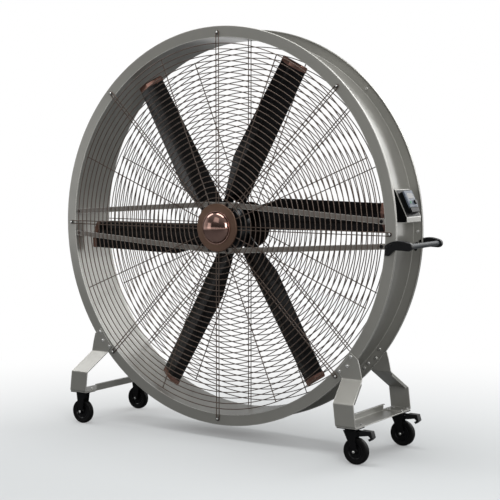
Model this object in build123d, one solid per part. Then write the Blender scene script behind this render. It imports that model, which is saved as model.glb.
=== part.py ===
from build123d import *
import os
from math import atan2, cos, degrees, hypot, radians, sin, tan

# A large mobile drum fan. Millimetres, +Z up, the floor at Z = 0.
# The fan axis runs along Y. The guard with the bright dome faces -Y, the handle is on the +X side.
# Everything is drawn with the fan axis at X = 0, then shifted so that the whole part is centred.

os.makedirs("parts", exist_ok=True)

# ---------------------------------------------------------------- driving dimensions
FLANGE_R = 1000.0  # outer radius of the two flange rings
FLANGE_WIDTH = 56.0  # from the drum's inner wall out to the rim
DRUM_DEPTH = 284.0  # front face of one flange to the outer face of the other
FLOOR_CLEARANCE = 69.0  # floor to the lowest point of the flanges
SHEET = 3.0  # drum and flange sheet

# Wire guards
WIRE = 4.0
GUARD_RING_COUNT = 28  # rings on the real guard
MODELLED_RING_STEP = 9  # one ring in nine is modelled in the solid guard
OUTER_RING_GAP = 30.0  # drum's inner wall to the outermost ring
INNER_RING_GAP = 27.55  # centre disc to the innermost ring
WIRE_TUCK = 8.0  # radial wires behind the centre disc's edge
BOLT_COUNT = 8
BOLT_INSET = 31.0  # flange rim to the guard's bolt circle
HAIRPIN_WIDTH = 20.0  # over both wires of a pair
CENTRE_DISC_R = 121.0
CENTRE_DISC_DEPTH = 8.0
GUARD_BOLT_R = 8.0
GUARD_BOLT_HEAD = 6.0
DOME_R = 84.0
DOME_HEIGHT = 38.0

# Cross bars and motor
BAR_HEIGHT = 27.0
BAR_THICK = 6.0
BAR_WALL_OFFSET = 58.0  # bar centre line above or below the axis, at the drum wall
BAR_HUB_OFFSET = 114.0  # the same, at the hub
BAR_KNEE = 70.0  # half the straight middle run
BAR_END_GAP = 6.0
BAR_SETBACK = 4.0  # guard wires to the bars
BAR_BOLT_R = 8.0
BAR_BOLT_HEAD = 3.0
BAR_BOLT_INSET = 22.0  # drum's inner wall to the end bolt
KNEE_BOLT_INSET = 15.0  # bar's knee to the motor plate's bolt
BRACKET_LENGTH = 30.0
BRACKET_DEPTH = 34.0
BRACKET_SHEET = 5.0
PLATE_THICK = 8.0
AXLE_R = 20.0
STATOR_R = 95.0
STATOR_LENGTH = 50.0
STATOR_TEETH = 12
TOOTH_DEPTH = 28.0
TOOTH_FILL = 0.7  # share of the pitch that a tooth's tip covers
AIR_GAP = 3.0
ROTOR_R = 125.0
ROTOR_GAP = 6.0  # mounting plate to rotor shell, and its mouth to the stator
STATOR_CLEARANCE = 7.0  # stator to the shell's thick end
ROTOR_END = 35.0  # thick end of the shell, which runs on the axle
RUNNING_FIT = 0.05
END_FLOAT = 0.5
HUB_NUT_SIZE = 32.0
HUB_NUT_THICK = 14.0

# Rotor blades
BLADE_COUNT = 6
BLADE_SETBACK = 20.0  # rotor shell's back to the blade line
BLADE_OFFSET = 70.0  # blade line beside the axis, so the arms form a pinwheel
BLADE_PITCH = 12.8
BLADE_ROOT = 132.0  # from the fan axis, just outside the rotor shell
TIP_GAP = 44.0  # blade line's end to the drum's inner wall
ROOT_CHORD = 170.5  # what the full taper would give at the root
TIP_CHORD = 137.0
ROOT_THICK = 26.6
TIP_THICK = 19.0
REAR_DEPTH = 10.0  # flat rear face behind the blade line
CROWN_R = 212.0  # curve of the front face, across the blade
CROWN_SHIFT = 12.0  # thickest line, from mid-chord towards the leading edge
NOSE = 7.0  # bevel under the leading edge
TRIM_LENGTH = 196.0  # the root's leading edge is cut back along this much of the span
TRIM_EDGE = 30.0  # blade line to what the cut leaves of the root
CAP_LENGTH = 28.0
CAP_OVERHANG = 2.0
ARM_WIDTH = 50.0
ARM_THICK = 10.0
ARM_INSERT = 90.0
SLOT_CLEARANCE = 0.3

# Legs and rails
LEG_SHEET = 5.0
LEG_WIDTH = 108.0
TAB_ANGLE = 39.85  # leg tab on the flange, in degrees below the level of the axis
TAB_SPREAD = 6.9  # degrees of the flange that the tab covers
TAB_INSET = 10.0  # drum's inner wall to the tab
TAB_OVERHANG = 2.0
TAPER_WIDTH = 13.0  # the strip's outer edge leans in towards the tab
TAPER_HEIGHT = 60.0
BEND_OUT = 29.77  # from the flange under the tab to the strip's middle at the upper bend
BEND_DOWN = 67.2
KNEE_OUT = 28.0  # upper bend to knee
FOOT_OUT = 13.0  # knee to foot
FOOT_PANEL_HEIGHT = 108.0
LEG_REACH = 280.0  # foot panel in front of the middle plane
FOOT_LENGTH = 90.0
RAIL_SHEET = 4.0
RAIL_END_GAP = 2.0  # foot to the rail's upright
RAIL_HEIGHT = 35.0
RAIL_LIP = 12.0
RETURN_DEPTH = 20.0
RETURN_MARGIN = 10.0  # bend or knee to the end of the stiffening return
LEG_BOLT_R = 7.0
LEG_BOLT_HEAD = 6.0
LEG_BOLT_ANGLES = (2.65, -0.15, -3.05)  # from the tab's middle, in degrees
LEG_BOLT_INSETS = (35.0, 21.0, 34.0)  # from the flange rim

# Casters
WHEEL_R = 63.5
WHEEL_WIDTH = 32.0
CASTER_HEADROOM = 45.0  # wheel top to the mounting plate's top
CASTER_SHIFT = 3.0  # caster's middle, outwards from the foot's
CASTER_TRAIL = 31.0
PLATE_MARGIN_X = 1.5  # foot's edge to the mounting plate, half the play along X
PLATE_MARGIN_Y = 5.0
HOLE_MARGIN_X = 16.0  # foot's edge to the bolt holes
HOLE_MARGIN_Y = 15.0
CASTER_SHEET = 4.0
RACE_R = 27.0
RACE_HEIGHT = 9.0
KINGPIN_R = 8.0
SWIVEL_GAP = 0.5
FORK_GAP = 2.5  # wheel side to fork cheek
FORK_TOP = 58.0
FORK_FOOT = 26.0
WHEEL_AXLE_R = 6.0
AXLE_HEAD_R = 8.0
AXLE_HEAD = 6.0
CASTER_BOLT_R = 7.0
CASTER_BOLT_HEAD = 6.0
EAR_REACH = 12.0  # fork's top plate to the pedal pin, outwards and down
EAR_MARGIN = 8.0  # ear past the middle of the pin
PEDAL_WIDTH = 34.0
PEDAL_SHEET = 7.0
PEDAL_DEPTH = 21.0  # tread and its stiffening walls
PEDAL_REACH = 94.0  # from the wheel axle outwards to the pedal's nose
PEDAL_CLEARANCE = 3.0  # tread below the mounting plate
PEDAL_BEVEL = 9.0  # tread to nose
PEDAL_NOSE = 30.0  # tread to the nose's foremost corner
PEDAL_HOOK = 18.0  # nose turned back under the tread
PEDAL_PIN_R = 4.0

# Handle
HANDLE_OVERHANG = 92.0  # flange rim to the handle's farthest point
HANDLE_TUBE_R = 12.5
HANDLE_DROP = 53.0  # tube below the fan axis
HANDLE_END_R = 20.0
HANDLE_BRACKET = 22.0
TUBE_SEAT = 18.0
SADDLE_EDGE = 8.0  # drum's inner wall to the bracket's saddle on the flange
SADDLE_WIDTH = 20.0
SADDLE_RISE = 3.0  # saddle's top corner above the tube's level
SADDLE_FALL = 45.0
ARCH_REACH = 60.0  # saddle's edge to the top of the arm's arch
ARCH_RISE = 26.0
ELBOW_REACH = 54.0  # saddle's edge to the corner under the arm
ELBOW_FALL = 18.0
HANDLE_SCREW_R = 4.5
HANDLE_SCREW_HEAD = 3.0
HANDLE_SCREW_PLACES = ((32.0, 7.0), (13.0, -5.0), (8.0, -33.0))  # from the saddle's edge

# Control housing and speed controller
HOUSING_WIDTH = 138.0
HOUSING_TOP = 204.0  # above the fan axis
HOUSING_SHELF = 74.0
HOUSING_BOTTOM = 50.0
HOUSING_TOP_DEPTH = 12.0  # drum's inner wall to the slanted face, at the top
HOUSING_SHELF_DEPTH = 75.5
DRIVE_WIDTH = 85.0
DRIVE_TOP_MARGIN = 18.0
DRIVE_LENGTH = 108.0
DRIVE_BASE = 15.0
DRIVE_COVER = 9.0
COVER_LENGTH = 84.0
COVER_BEVEL = 3.0
TERMINAL_STEP = 2.0  # terminal cover lower than the drive cover
CONTROL_MARGIN = 24.0  # cover's lower edge to the middle of the knob and the key
KNOB_R = 11.0
KNOB_HEIGHT = 9.0
KNOB_STEM_R = 4.0
KEY_SIZE = 12.0
KEY_TRAVEL = 1.5
KEY_PROUD = 2.5
KEY_CLEARANCE = 0.3

# ---------------------------------------------------------------- sizes worked out from these
HUB_HEIGHT = FLANGE_R + FLOOR_CLEARANCE
INNER_R = FLANGE_R - FLANGE_WIDTH
SHELL_R = INNER_R + SHEET
FACE_Y = DRUM_DEPTH / 2  # outer face of a flange
BOLT_CIRCLE_R = FLANGE_R - BOLT_INSET
OUTER_RING_R = INNER_R - OUTER_RING_GAP
RING_PITCH = (OUTER_RING_R - CENTRE_DISC_R - INNER_RING_GAP) / (GUARD_RING_COUNT - 1)
BAR_FRONT = -FACE_Y + BAR_SETBACK
BAR_BACK = BAR_FRONT + BAR_THICK
PLATE_BACK = BAR_BACK + PLATE_THICK
ROTOR_FRONT = PLATE_BACK + ROTOR_GAP
ROTOR_BACK = ROTOR_FRONT + ROTOR_GAP + STATOR_LENGTH + STATOR_CLEARANCE + ROTOR_END
AXLE_END = ROTOR_BACK + END_FLOAT
BLADE_Y = ROTOR_BACK - BLADE_SETBACK
BLADE_TIP = INNER_R - TIP_GAP
CASTER_TOP = 2 * WHEEL_R + CASTER_HEADROOM
LEG_BOTTOM = CASTER_TOP + RAIL_SHEET
TAB_R = FLANGE_R - FLANGE_WIDTH / 2
LEG_BEND_X = TAB_R * cos(radians(TAB_ANGLE)) + BEND_OUT  # middle of the strip
LEG_KNEE_X = LEG_BEND_X + KNEE_OUT
LEG_FOOT_X = LEG_KNEE_X + FOOT_OUT
LEG_BEND_DROP = TAB_R * sin(radians(TAB_ANGLE)) + BEND_DOWN  # below the fan axis
LEG_KNEE_DROP = HUB_HEIGHT - LEG_BOTTOM - FOOT_PANEL_HEIGHT
CASTER_X = LEG_FOOT_X + CASTER_SHIFT  # swivel axis and rigid caster centre
CASTER_Y = LEG_REACH - FOOT_LENGTH / 2 - 1
CASTER_PLATE_X = LEG_WIDTH - 2 * PLATE_MARGIN_X
CASTER_PLATE_Y = FOOT_LENGTH - 2 * PLATE_MARGIN_Y
CASTER_HOLE_X = LEG_WIDTH - 2 * HOLE_MARGIN_X
CASTER_HOLE_Y = FOOT_LENGTH - 2 * HOLE_MARGIN_Y
CASTER_PLATE_BOTTOM = CASTER_TOP - CASTER_SHEET
WHEEL_X = CASTER_X + CASTER_TRAIL
FORK_HALF = WHEEL_WIDTH / 2 + FORK_GAP
FORK_TOP_Z = CASTER_PLATE_BOTTOM - RACE_HEIGHT - SWIVEL_GAP
PEDAL_X = CASTER_X + FORK_TOP / 2 + EAR_REACH
PEDAL_Z = FORK_TOP_Z - EAR_REACH
HANDLE_REACH = FLANGE_R + HANDLE_OVERHANG
SADDLE_X = INNER_R + SADDLE_EDGE
HOUSING_TOP_X = INNER_R + HOUSING_TOP_DEPTH
HOUSING_SHELF_X = INNER_R + HOUSING_SHELF_DEPTH
AXIS_X = -HANDLE_OVERHANG / 2  # centres the whole part on X = 0

UPRIGHT = (Align.CENTER, Align.CENTER, Align.MIN)
FAN_AXIS = Axis((0, 0, HUB_HEIGHT), (0, 1, 0))


# ---------------------------------------------------------------- helpers
def disc(radius, y_low, y_high):
    """A solid disc round the fan axis, between two Y planes."""
    return (
        Pos(0, y_low, HUB_HEIGHT)
        * Rot(-90, 0, 0)
        * Cylinder(radius, y_high - y_low, align=UPRIGHT)
    )


def ring(outer, inner, y_low, y_high):
    return disc(outer, y_low, y_high) - disc(inner, y_low, y_high)


def front_slab(outline, y_low, y_high):
    """Extrudes an outline drawn from the front, with X across and Z up from the fan axis."""
    plane = Plane(origin=(0, y_high, HUB_HEIGHT), x_dir=(1, 0, 0), z_dir=(0, -1, 0))
    return extrude(plane * outline, amount=y_high - y_low)


def side_slab(outline, x_low, x_high):
    """Extrudes an outline drawn from the side, with Y across and Z up from the fan axis."""
    plane = Plane(origin=(x_low, 0, HUB_HEIGHT), x_dir=(0, 1, 0), z_dir=(1, 0, 0))
    return extrude(plane * outline, amount=x_high - x_low)


def polygon(*points):
    return make_face(Polyline(*points, close=True))


def turn(shape, angle):
    """Turns a shape about the fan axis, anticlockwise as seen from the front."""
    return (
        Pos(0, 0, HUB_HEIGHT) * Rot(0, -angle, 0) * Pos(0, 0, -HUB_HEIGHT) * shape
    )


def to_rear(shape):
    return mirror(shape, about=Plane.XZ)


def to_left(shape):
    return mirror(shape, about=Plane.YZ)


def peg(radius, x, z, y_low, y_high):
    """A round peg along Y, with its place given from the fan axis."""
    return Pos(x, 0, z) * disc(radius, y_low, y_high)


def bolt_head(radius, x, z, seat_y, height):
    """A hexagon head that stands on a front face, with its place given from the fan axis."""
    return front_slab(Pos(x, z) * RegularPolygon(radius, 6), seat_y - height, seat_y)


def save(name, *solids):
    """Writes one piece, or a group of like pieces, as its own file."""
    placed = [Pos(AXIS_X, 0, 0) * solid for solid in solids]
    shape = placed[0] if len(placed) == 1 else Compound(children=placed)
    export_step(shape, f"parts/{name}.step")


# ---------------------------------------------------------------- drum
def drum_shell():
    return ring(SHELL_R, INNER_R, -FACE_Y + SHEET, FACE_Y - SHEET)


def front_flange():
    """Flat ring on the drum's end."""
    return ring(FLANGE_R, INNER_R, -FACE_Y, -FACE_Y + SHEET)


# ---------------------------------------------------------------- guards
def ring_arc(radius):
    """One of the equal arcs of a guard ring, which meet end to end behind the hairpins.

    The rings lie on the front of the radial wires. Their section is a simple triangle.
    """
    back = -FACE_Y - WIRE
    section = polygon(
        (radius - WIRE / 2, back), (radius + WIRE / 2, back), (radius, back - WIRE)
    )
    return revolve(Pos(0, 0, HUB_HEIGHT) * section, FAN_AXIS, 360 / BOLT_COUNT)


def hairpin():
    """A pair of radial wires bent from one length, looped round its flange bolt."""
    start = CENTRE_DISC_R - WIRE_TUCK

    def tongue(half):
        return polygon(
            (start, -half),
            (BOLT_CIRCLE_R, -half),
            (BOLT_CIRCLE_R + 0.8 * half, -half / 2),
            (BOLT_CIRCLE_R + 0.8 * half, half / 2),
            (BOLT_CIRCLE_R, half),
            (start, half),
        )

    outline = tongue(HAIRPIN_WIDTH / 2) - tongue(HAIRPIN_WIDTH / 2 - WIRE)
    return front_slab(outline, -FACE_Y - WIRE, -FACE_Y)


def single_wire():
    start = CENTRE_DISC_R - WIRE_TUCK
    end = OUTER_RING_R + WIRE / 2
    outline = Pos((start + end) / 2, 0) * Rectangle(end - start, WIRE)
    return front_slab(outline, -FACE_Y - WIRE, -FACE_Y)


def front_guard():
    """Ring arcs and radial wires, each its own wire and face to face where they are welded."""
    sector = [hairpin(), turn(single_wire(), 180 / BOLT_COUNT)]
    for index in range(0, GUARD_RING_COUNT, MODELLED_RING_STEP):
        sector.append(ring_arc(OUTER_RING_R - index * RING_PITCH))
    angles = [index * 360 / BOLT_COUNT for index in range(BOLT_COUNT)]
    return [turn(wire, angle) for angle in angles for wire in sector]


def centre_disc():
    """Flat cover disc on the middle of a guard."""
    front = -FACE_Y - WIRE
    return disc(CENTRE_DISC_R, front - CENTRE_DISC_DEPTH, front)


def centre_dome():
    """Shallow polished dome on the front disc, turned from a profile of three straight runs."""
    face = -FACE_Y - WIRE - CENTRE_DISC_DEPTH
    turns = [radians(angle) for angle in (0, 30, 60, 90)]
    rim = [(DOME_R * cos(turn), face - DOME_HEIGHT * sin(turn)) for turn in turns]
    profile = polygon(*rim, (0, face))
    return revolve(Pos(0, 0, HUB_HEIGHT) * profile, FAN_AXIS)


def guard_bolts():
    """Bolts through the hairpin loops into both flanges."""
    heads = []
    outer = -FACE_Y - WIRE
    for index in range(BOLT_COUNT):
        head = bolt_head(GUARD_BOLT_R, BOLT_CIRCLE_R, 0, outer, GUARD_BOLT_HEAD)
        head = turn(head, index * 360 / BOLT_COUNT)
        heads += [head, to_rear(head)]
    return heads


# ---------------------------------------------------------------- cross bars and motor
def upper_bar():
    """Flat bar across the drum, cranked so that it clears the motor plate's middle."""
    end = INNER_R - BAR_END_GAP
    half = BAR_HEIGHT / 2
    centre = [
        (-end, BAR_WALL_OFFSET),
        (-BAR_KNEE, BAR_HUB_OFFSET),
        (BAR_KNEE, BAR_HUB_OFFSET),
        (end, BAR_WALL_OFFSET),
    ]
    upper = [(x, z + half) for x, z in centre]
    lower = [(x, z - half) for x, z in reversed(centre)]
    return front_slab(polygon(*upper, *lower), BAR_FRONT, BAR_BACK)


def bar_end_brackets():
    """Four angle brackets that hold the bars to the drum's wall."""
    tab = front_slab(
        Pos(INNER_R - BRACKET_LENGTH / 2, BAR_WALL_OFFSET)
        * Rectangle(BRACKET_LENGTH + 2 * SHEET, BAR_HEIGHT),
        BAR_BACK,
        BAR_BACK + BRACKET_SHEET,
    )
    wall = front_slab(
        Pos(INNER_R - BRACKET_SHEET, BAR_WALL_OFFSET)
        * Rectangle(3 * BRACKET_SHEET, BAR_HEIGHT),
        BAR_BACK,
        BAR_BACK + BRACKET_DEPTH,
    )
    angle = (tab + wall) & disc(INNER_R, BAR_BACK, BAR_BACK + BRACKET_DEPTH)
    right = [angle, mirror(angle, about=Plane.XY.offset(HUB_HEIGHT))]
    return right + [to_left(piece) for piece in right]


def bar_bolts():
    """Hexagon bolts through the bars: one at each end and two at each side of the hub."""
    places = []
    for side in (-1, 1):
        for height in (-1, 1):
            end = (side * (INNER_R - BAR_BOLT_INSET), height * BAR_WALL_OFFSET)
            knee = (side * (BAR_KNEE - KNEE_BOLT_INSET), height * BAR_HUB_OFFSET)
            places += [end, knee]
    return [bolt_head(BAR_BOLT_R, x, z, BAR_FRONT, BAR_BOLT_HEAD) for x, z in places]


def motor_plate():
    """Eight-sided plate behind the two bars. The fixed axle stands on it."""
    outline = Rot(0, 0, 22.5) * RegularPolygon(
        BAR_HUB_OFFSET + BAR_HEIGHT / 2, 8, major_radius=False
    )
    return front_slab(outline, BAR_BACK, PLATE_BACK)


def motor_axle():
    return disc(AXLE_R, PLATE_BACK, AXLE_END)


def motor_stator():
    """Toothed core on the axle: twelve teeth that widen towards the air gap."""
    root = STATOR_R - TOOTH_DEPTH
    pitch = 360 / STATOR_TEETH
    outline = []
    for index in range(STATOR_TEETH):
        middle = index * pitch
        for radius, share in (
            (root, -0.3),
            (STATOR_R, -TOOTH_FILL / 2),
            (STATOR_R, TOOTH_FILL / 2),
            (root, 0.3),
        ):
            angle = radians(middle + share * pitch)
            outline.append((radius * cos(angle), radius * sin(angle)))
    front = ROTOR_FRONT + ROTOR_GAP
    core = front_slab(polygon(*outline), front, front + STATOR_LENGTH)
    return core - disc(AXLE_R, front, front + STATOR_LENGTH)


def rotor_shell():
    """Cup that turns round the stator. Its thick end runs on the axle and carries the arms."""
    cup = disc(ROTOR_R, ROTOR_FRONT, ROTOR_BACK)
    cavity = disc(STATOR_R + AIR_GAP, ROTOR_FRONT, ROTOR_BACK - ROTOR_END)
    return cup - cavity - disc(AXLE_R + RUNNING_FIT, ROTOR_FRONT, ROTOR_BACK)


def hub_nut():
    """Cap nut on the end of the fixed axle, which keeps the rotor on."""
    outline = RegularPolygon(HUB_NUT_SIZE, 6)
    return front_slab(outline, AXLE_END, AXLE_END + HUB_NUT_THICK)


# ---------------------------------------------------------------- blades
def blade_plane():
    """The blade that points along +X: X runs along its span, Y along its chord to the nose."""
    lean = radians(BLADE_PITCH)
    return Plane(
        origin=(0, BLADE_Y, HUB_HEIGHT + BLADE_OFFSET),
        x_dir=(1, 0, 0),
        z_dir=(0, -cos(lean), -sin(lean)),
    )


def along_blade(root_value, tip_value, span):
    """A size that changes evenly from the blade's root to its tip."""
    share = (span - BLADE_ROOT) / (BLADE_TIP - BLADE_ROOT)
    return root_value + (tip_value - root_value) * share


def blade_outline(start, end, grow):
    """The blade from its flat side; the root's leading edge is cut back towards the hub."""
    start_half = along_blade(ROOT_CHORD, TIP_CHORD, start) / 2 + grow
    end_half = along_blade(ROOT_CHORD, TIP_CHORD, end) / 2 + grow
    leading = [(start, start_half)]
    trim_end = BLADE_ROOT + TRIM_LENGTH
    if start < trim_end:
        trim_half = along_blade(ROOT_CHORD, TIP_CHORD, trim_end) / 2 + grow
        leading = [(trim_end, trim_half), (start, TRIM_EDGE + grow)]
    return polygon((start, -start_half), (end, -end_half), (end, end_half), *leading)


def blade_body(start, end, grow):
    """The aerofoil between two spans: flat behind, crowned in front and bevelled at its nose.

    Grow moves every side face outwards, for the cap that fits over the blade's end.
    """
    outline = blade_outline(start, end, grow)
    slab = extrude(Pos(0, 0, -grow) * outline, amount=ROOT_THICK + 2 * grow)
    flat_side = slab.edges().group_by(Axis.Z)[0]
    nose_edges = [edge for edge in flat_side if edge.center().Y > TRIM_EDGE]
    slab = chamfer(nose_edges, NOSE)
    lean = degrees(atan2(ROOT_THICK - TIP_THICK, BLADE_TIP - BLADE_ROOT))
    crown = (
        Pos(BLADE_ROOT, CROWN_SHIFT, ROOT_THICK - CROWN_R)
        * Rot(0, 90 + lean, 0)
        * Cylinder(CROWN_R + grow, 2 * BLADE_TIP)
    )
    return blade_plane().offset(-REAR_DEPTH) * (slab & crown)


def arm_bar(extra, start, end):
    """Flat bar on the blade line; extra widens it into the slot that takes it."""
    width = ARM_WIDTH + 2 * extra
    thickness = ARM_THICK + 2 * extra
    place = blade_plane() * Pos((start + end) / 2, 0, 0)
    return place * Box(end - start, width, thickness)


def blade():
    """Tapered blade with a slot in its root for the arm."""
    slot_end = BLADE_ROOT + ARM_INSERT + SLOT_CLEARANCE
    slot = arm_bar(SLOT_CLEARANCE, BLADE_ROOT - ARM_INSERT, slot_end)
    return blade_body(BLADE_ROOT, BLADE_TIP - CAP_LENGTH, 0) - slot


def tip_cap():
    """Cap on the blade's end, a little proud of it all round."""
    return blade_body(BLADE_TIP - CAP_LENGTH, BLADE_TIP, CAP_OVERHANG)


def blade_arm():
    """Arm from the rotor shell into the blade's root."""
    bar = arm_bar(0, 0, BLADE_ROOT + ARM_INSERT)
    return bar - disc(ROTOR_R, ROTOR_FRONT - ROTOR_R, ROTOR_BACK + ROTOR_R)


# ---------------------------------------------------------------- legs and rails
def leg_outline():
    """The front right leg from the front: a tab on the flange, then a strip that leans out."""
    half = LEG_WIDTH / 2
    inner_r = INNER_R + TAB_INSET
    outer_r = FLANGE_R + TAB_OVERHANG
    high = radians(TAB_SPREAD / 2 - TAB_ANGLE)
    low = radians(-TAB_SPREAD / 2 - TAB_ANGLE)
    return polygon(
        (LEG_BEND_X + half, -LEG_BEND_DROP),
        (LEG_BEND_X + half - TAPER_WIDTH, -LEG_BEND_DROP + TAPER_HEIGHT),
        (outer_r * cos(high), outer_r * sin(high)),
        (inner_r * cos(high), inner_r * sin(high)),
        (inner_r * cos(low), inner_r * sin(low)),
        (LEG_BEND_X - half, -LEG_BEND_DROP),
        (LEG_KNEE_X - half, -LEG_KNEE_DROP),
        (LEG_FOOT_X - half, LEG_BOTTOM - HUB_HEIGHT),
        (LEG_FOOT_X + half, LEG_BOTTOM - HUB_HEIGHT),
        (LEG_KNEE_X + half, -LEG_KNEE_DROP),
    )


def leg_bend_drop(depth):
    """How far a bend line moves down on a face that lies depth behind the outer one."""
    slope = atan2(
        LEG_REACH - FACE_Y - LEG_SHEET, LEG_KNEE_DROP - LEG_BEND_DROP
    )
    return depth * tan(slope / 2)


def leg_band(shallow, deep, top, bottom):
    """The leg's side profile between two depths behind its outer face."""
    near = -FACE_Y - LEG_SHEET
    drops = [leg_bend_drop(depth) for depth in (shallow, deep)]
    return polygon(
        (near + shallow, top),
        (near + shallow, -LEG_BEND_DROP - drops[0]),
        (-LEG_REACH + shallow, -LEG_KNEE_DROP - drops[0]),
        (-LEG_REACH + shallow, bottom),
        (-LEG_REACH + deep, bottom),
        (-LEG_REACH + deep, -LEG_KNEE_DROP - drops[1]),
        (near + deep, -LEG_BEND_DROP - drops[1]),
        (near + deep, top),
    )


def front_right_leg():
    """Bent sheet leg: tab, slanted panel with a stiffening return, foot panel, bolted foot."""
    bottom = LEG_BOTTOM - HUB_HEIGHT
    left = LEG_BEND_X - LEG_WIDTH
    right = LEG_FOOT_X + LEG_WIDTH
    top = -FLANGE_R / 2
    strip = side_slab(leg_band(0, LEG_SHEET, top, bottom), left, right)
    foot = side_slab(
        Pos(-LEG_REACH + FOOT_LENGTH / 2, bottom + LEG_SHEET / 2)
        * Rectangle(FOOT_LENGTH, LEG_SHEET),
        left,
        right,
    )
    body = (strip + foot) & front_slab(leg_outline(), -LEG_REACH, 0)

    half = LEG_WIDTH / 2
    edge = polygon(
        (LEG_BEND_X + half, -LEG_BEND_DROP),
        (LEG_KNEE_X + half, -LEG_KNEE_DROP),
        (LEG_KNEE_X + half - LEG_SHEET, -LEG_KNEE_DROP),
        (LEG_BEND_X + half - LEG_SHEET, -LEG_BEND_DROP),
    )
    length = LEG_KNEE_DROP - LEG_BEND_DROP - 2 * RETURN_MARGIN
    edge &= Pos(0, -(LEG_BEND_DROP + LEG_KNEE_DROP) / 2) * Rectangle(4 * FLANGE_R, length)
    band = side_slab(
        leg_band(LEG_SHEET, RETURN_DEPTH, -LEG_BEND_DROP, bottom), left, right
    )
    returns = band & front_slab(edge, -LEG_REACH, 0)
    return body + returns


def leg_bolts():
    """Three bolts through each leg's tab into the flange."""
    outer = -FACE_Y - LEG_SHEET
    front = []
    for angle, inset in zip(LEG_BOLT_ANGLES, LEG_BOLT_INSETS):
        head = bolt_head(LEG_BOLT_R, FLANGE_R - inset, 0, outer, LEG_BOLT_HEAD)
        head = turn(head, angle - TAB_ANGLE)
        front += [head, to_left(head)]
    return front + [to_rear(head) for head in front]


def right_rail():
    """Channel between the two right feet: a web under the feet, one upright and its lip."""
    inner_x = LEG_FOOT_X - LEG_WIDTH / 2
    outer_x = LEG_FOOT_X + LEG_WIDTH / 2
    length = 2 * (LEG_REACH - LEG_SHEET)
    clear_length = 2 * (LEG_REACH - FOOT_LENGTH - RAIL_END_GAP)
    web = Box(outer_x - inner_x, length, RAIL_SHEET, align=UPRIGHT)
    upright = Box(
        RAIL_SHEET, clear_length, RAIL_HEIGHT, align=(Align.MIN, Align.CENTER, Align.MIN)
    )
    lip = Box(
        RAIL_LIP, clear_length, RAIL_SHEET, align=(Align.MIN, Align.CENTER, Align.MAX)
    )
    return (
        Pos(LEG_FOOT_X, 0, CASTER_TOP) * web
        + Pos(inner_x, 0, CASTER_TOP) * upright
        + Pos(inner_x, 0, CASTER_TOP + RAIL_HEIGHT) * lip
    )


def caster_bolts():
    """Hexagon bolts through each foot, the rail and the caster plate."""
    head = extrude(
        RegularPolygon(CASTER_BOLT_R, 6, rotation=30), amount=CASTER_BOLT_HEAD
    )
    heads = []
    for side in (-1, 1):
        for end in (-1, 1):
            centre = Pos(side * CASTER_X, end * CASTER_Y, LEG_BOTTOM + LEG_SHEET)
            for place in GridLocations(CASTER_HOLE_X, CASTER_HOLE_Y, 2, 2):
                heads.append(centre * place * head)
    return heads


# ---------------------------------------------------------------- casters
def caster_peg(radius, x, z, half_length):
    """A round peg along Y, through the front right caster's middle plane."""
    return (
        Pos(x, -CASTER_Y, z)
        * Rot(90, 0, 0)
        * Cylinder(radius, 2 * half_length)
    )


def wheel(x):
    tyre = caster_peg(WHEEL_R, x, WHEEL_R, WHEEL_WIDTH / 2)
    return tyre - caster_peg(WHEEL_AXLE_R + RUNNING_FIT, x, WHEEL_R, WHEEL_WIDTH)


def caster_slab(outline, half_width):
    """Extrudes an outline with X across and Z up, to both sides of the caster's middle."""
    plane = Plane(
        origin=(0, half_width - CASTER_Y, 0), x_dir=(1, 0, 0), z_dir=(0, -1, 0)
    )
    return extrude(plane * outline, amount=2 * half_width)


def fork(x, top, foot_x):
    """Pressed fork with its wheel axle: a top plate, and cheeks that narrow down to the axle."""
    cheek = polygon(
        (x - FORK_TOP / 2, top),
        (x + FORK_TOP / 2, top),
        (foot_x + FORK_FOOT / 2, WHEEL_R),
        (foot_x + FORK_FOOT / 4, WHEEL_R - FORK_FOOT / 2),
        (foot_x - FORK_FOOT / 4, WHEEL_R - FORK_FOOT / 2),
        (foot_x - FORK_FOOT / 2, WHEEL_R),
    )
    half = FORK_HALF + CASTER_SHEET
    mouth = Pos(x, -CASTER_Y, top - CASTER_SHEET) * Box(
        4 * WHEEL_R, 2 * FORK_HALF, top, align=(Align.CENTER, Align.CENTER, Align.MAX)
    )
    axle = caster_peg(WHEEL_AXLE_R, foot_x, WHEEL_R, half)
    heads = caster_slab(
        Pos(foot_x, WHEEL_R) * RegularPolygon(AXLE_HEAD_R, 6), half + AXLE_HEAD
    ) - caster_slab(Pos(foot_x, WHEEL_R) * Rectangle(WHEEL_R, WHEEL_R), half)
    return caster_slab(cheek, half) - mouth + axle + heads


def caster_plate(x):
    return Pos(x, -CASTER_Y, CASTER_PLATE_BOTTOM) * Box(
        CASTER_PLATE_X, CASTER_PLATE_Y, CASTER_SHEET, align=UPRIGHT
    )


def rigid_fork():
    """Fixed caster body: its mounting plate and its fork are one welded piece."""
    body = fork(CASTER_X, CASTER_PLATE_BOTTOM + CASTER_SHEET / 2, CASTER_X)
    return to_left(caster_plate(CASTER_X) + body)


def swivel_plate():
    """Mounting plate with the ball race and the kingpin that the fork turns on."""
    centre = Pos(CASTER_X, -CASTER_Y, CASTER_PLATE_BOTTOM)
    down = (Align.CENTER, Align.CENTER, Align.MAX)
    race = centre * Cylinder(RACE_R, RACE_HEIGHT, align=down)
    pin_length = RACE_HEIGHT + 2 * SWIVEL_GAP + CASTER_SHEET
    pin = centre * Cylinder(KINGPIN_R, pin_length, align=down)
    head = Pos(CASTER_X, -CASTER_Y, CASTER_PLATE_BOTTOM - pin_length) * extrude(
        RegularPolygon(1.6 * KINGPIN_R, 6), amount=-CASTER_SHEET
    )
    return caster_plate(CASTER_X) + race + pin + head


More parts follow.
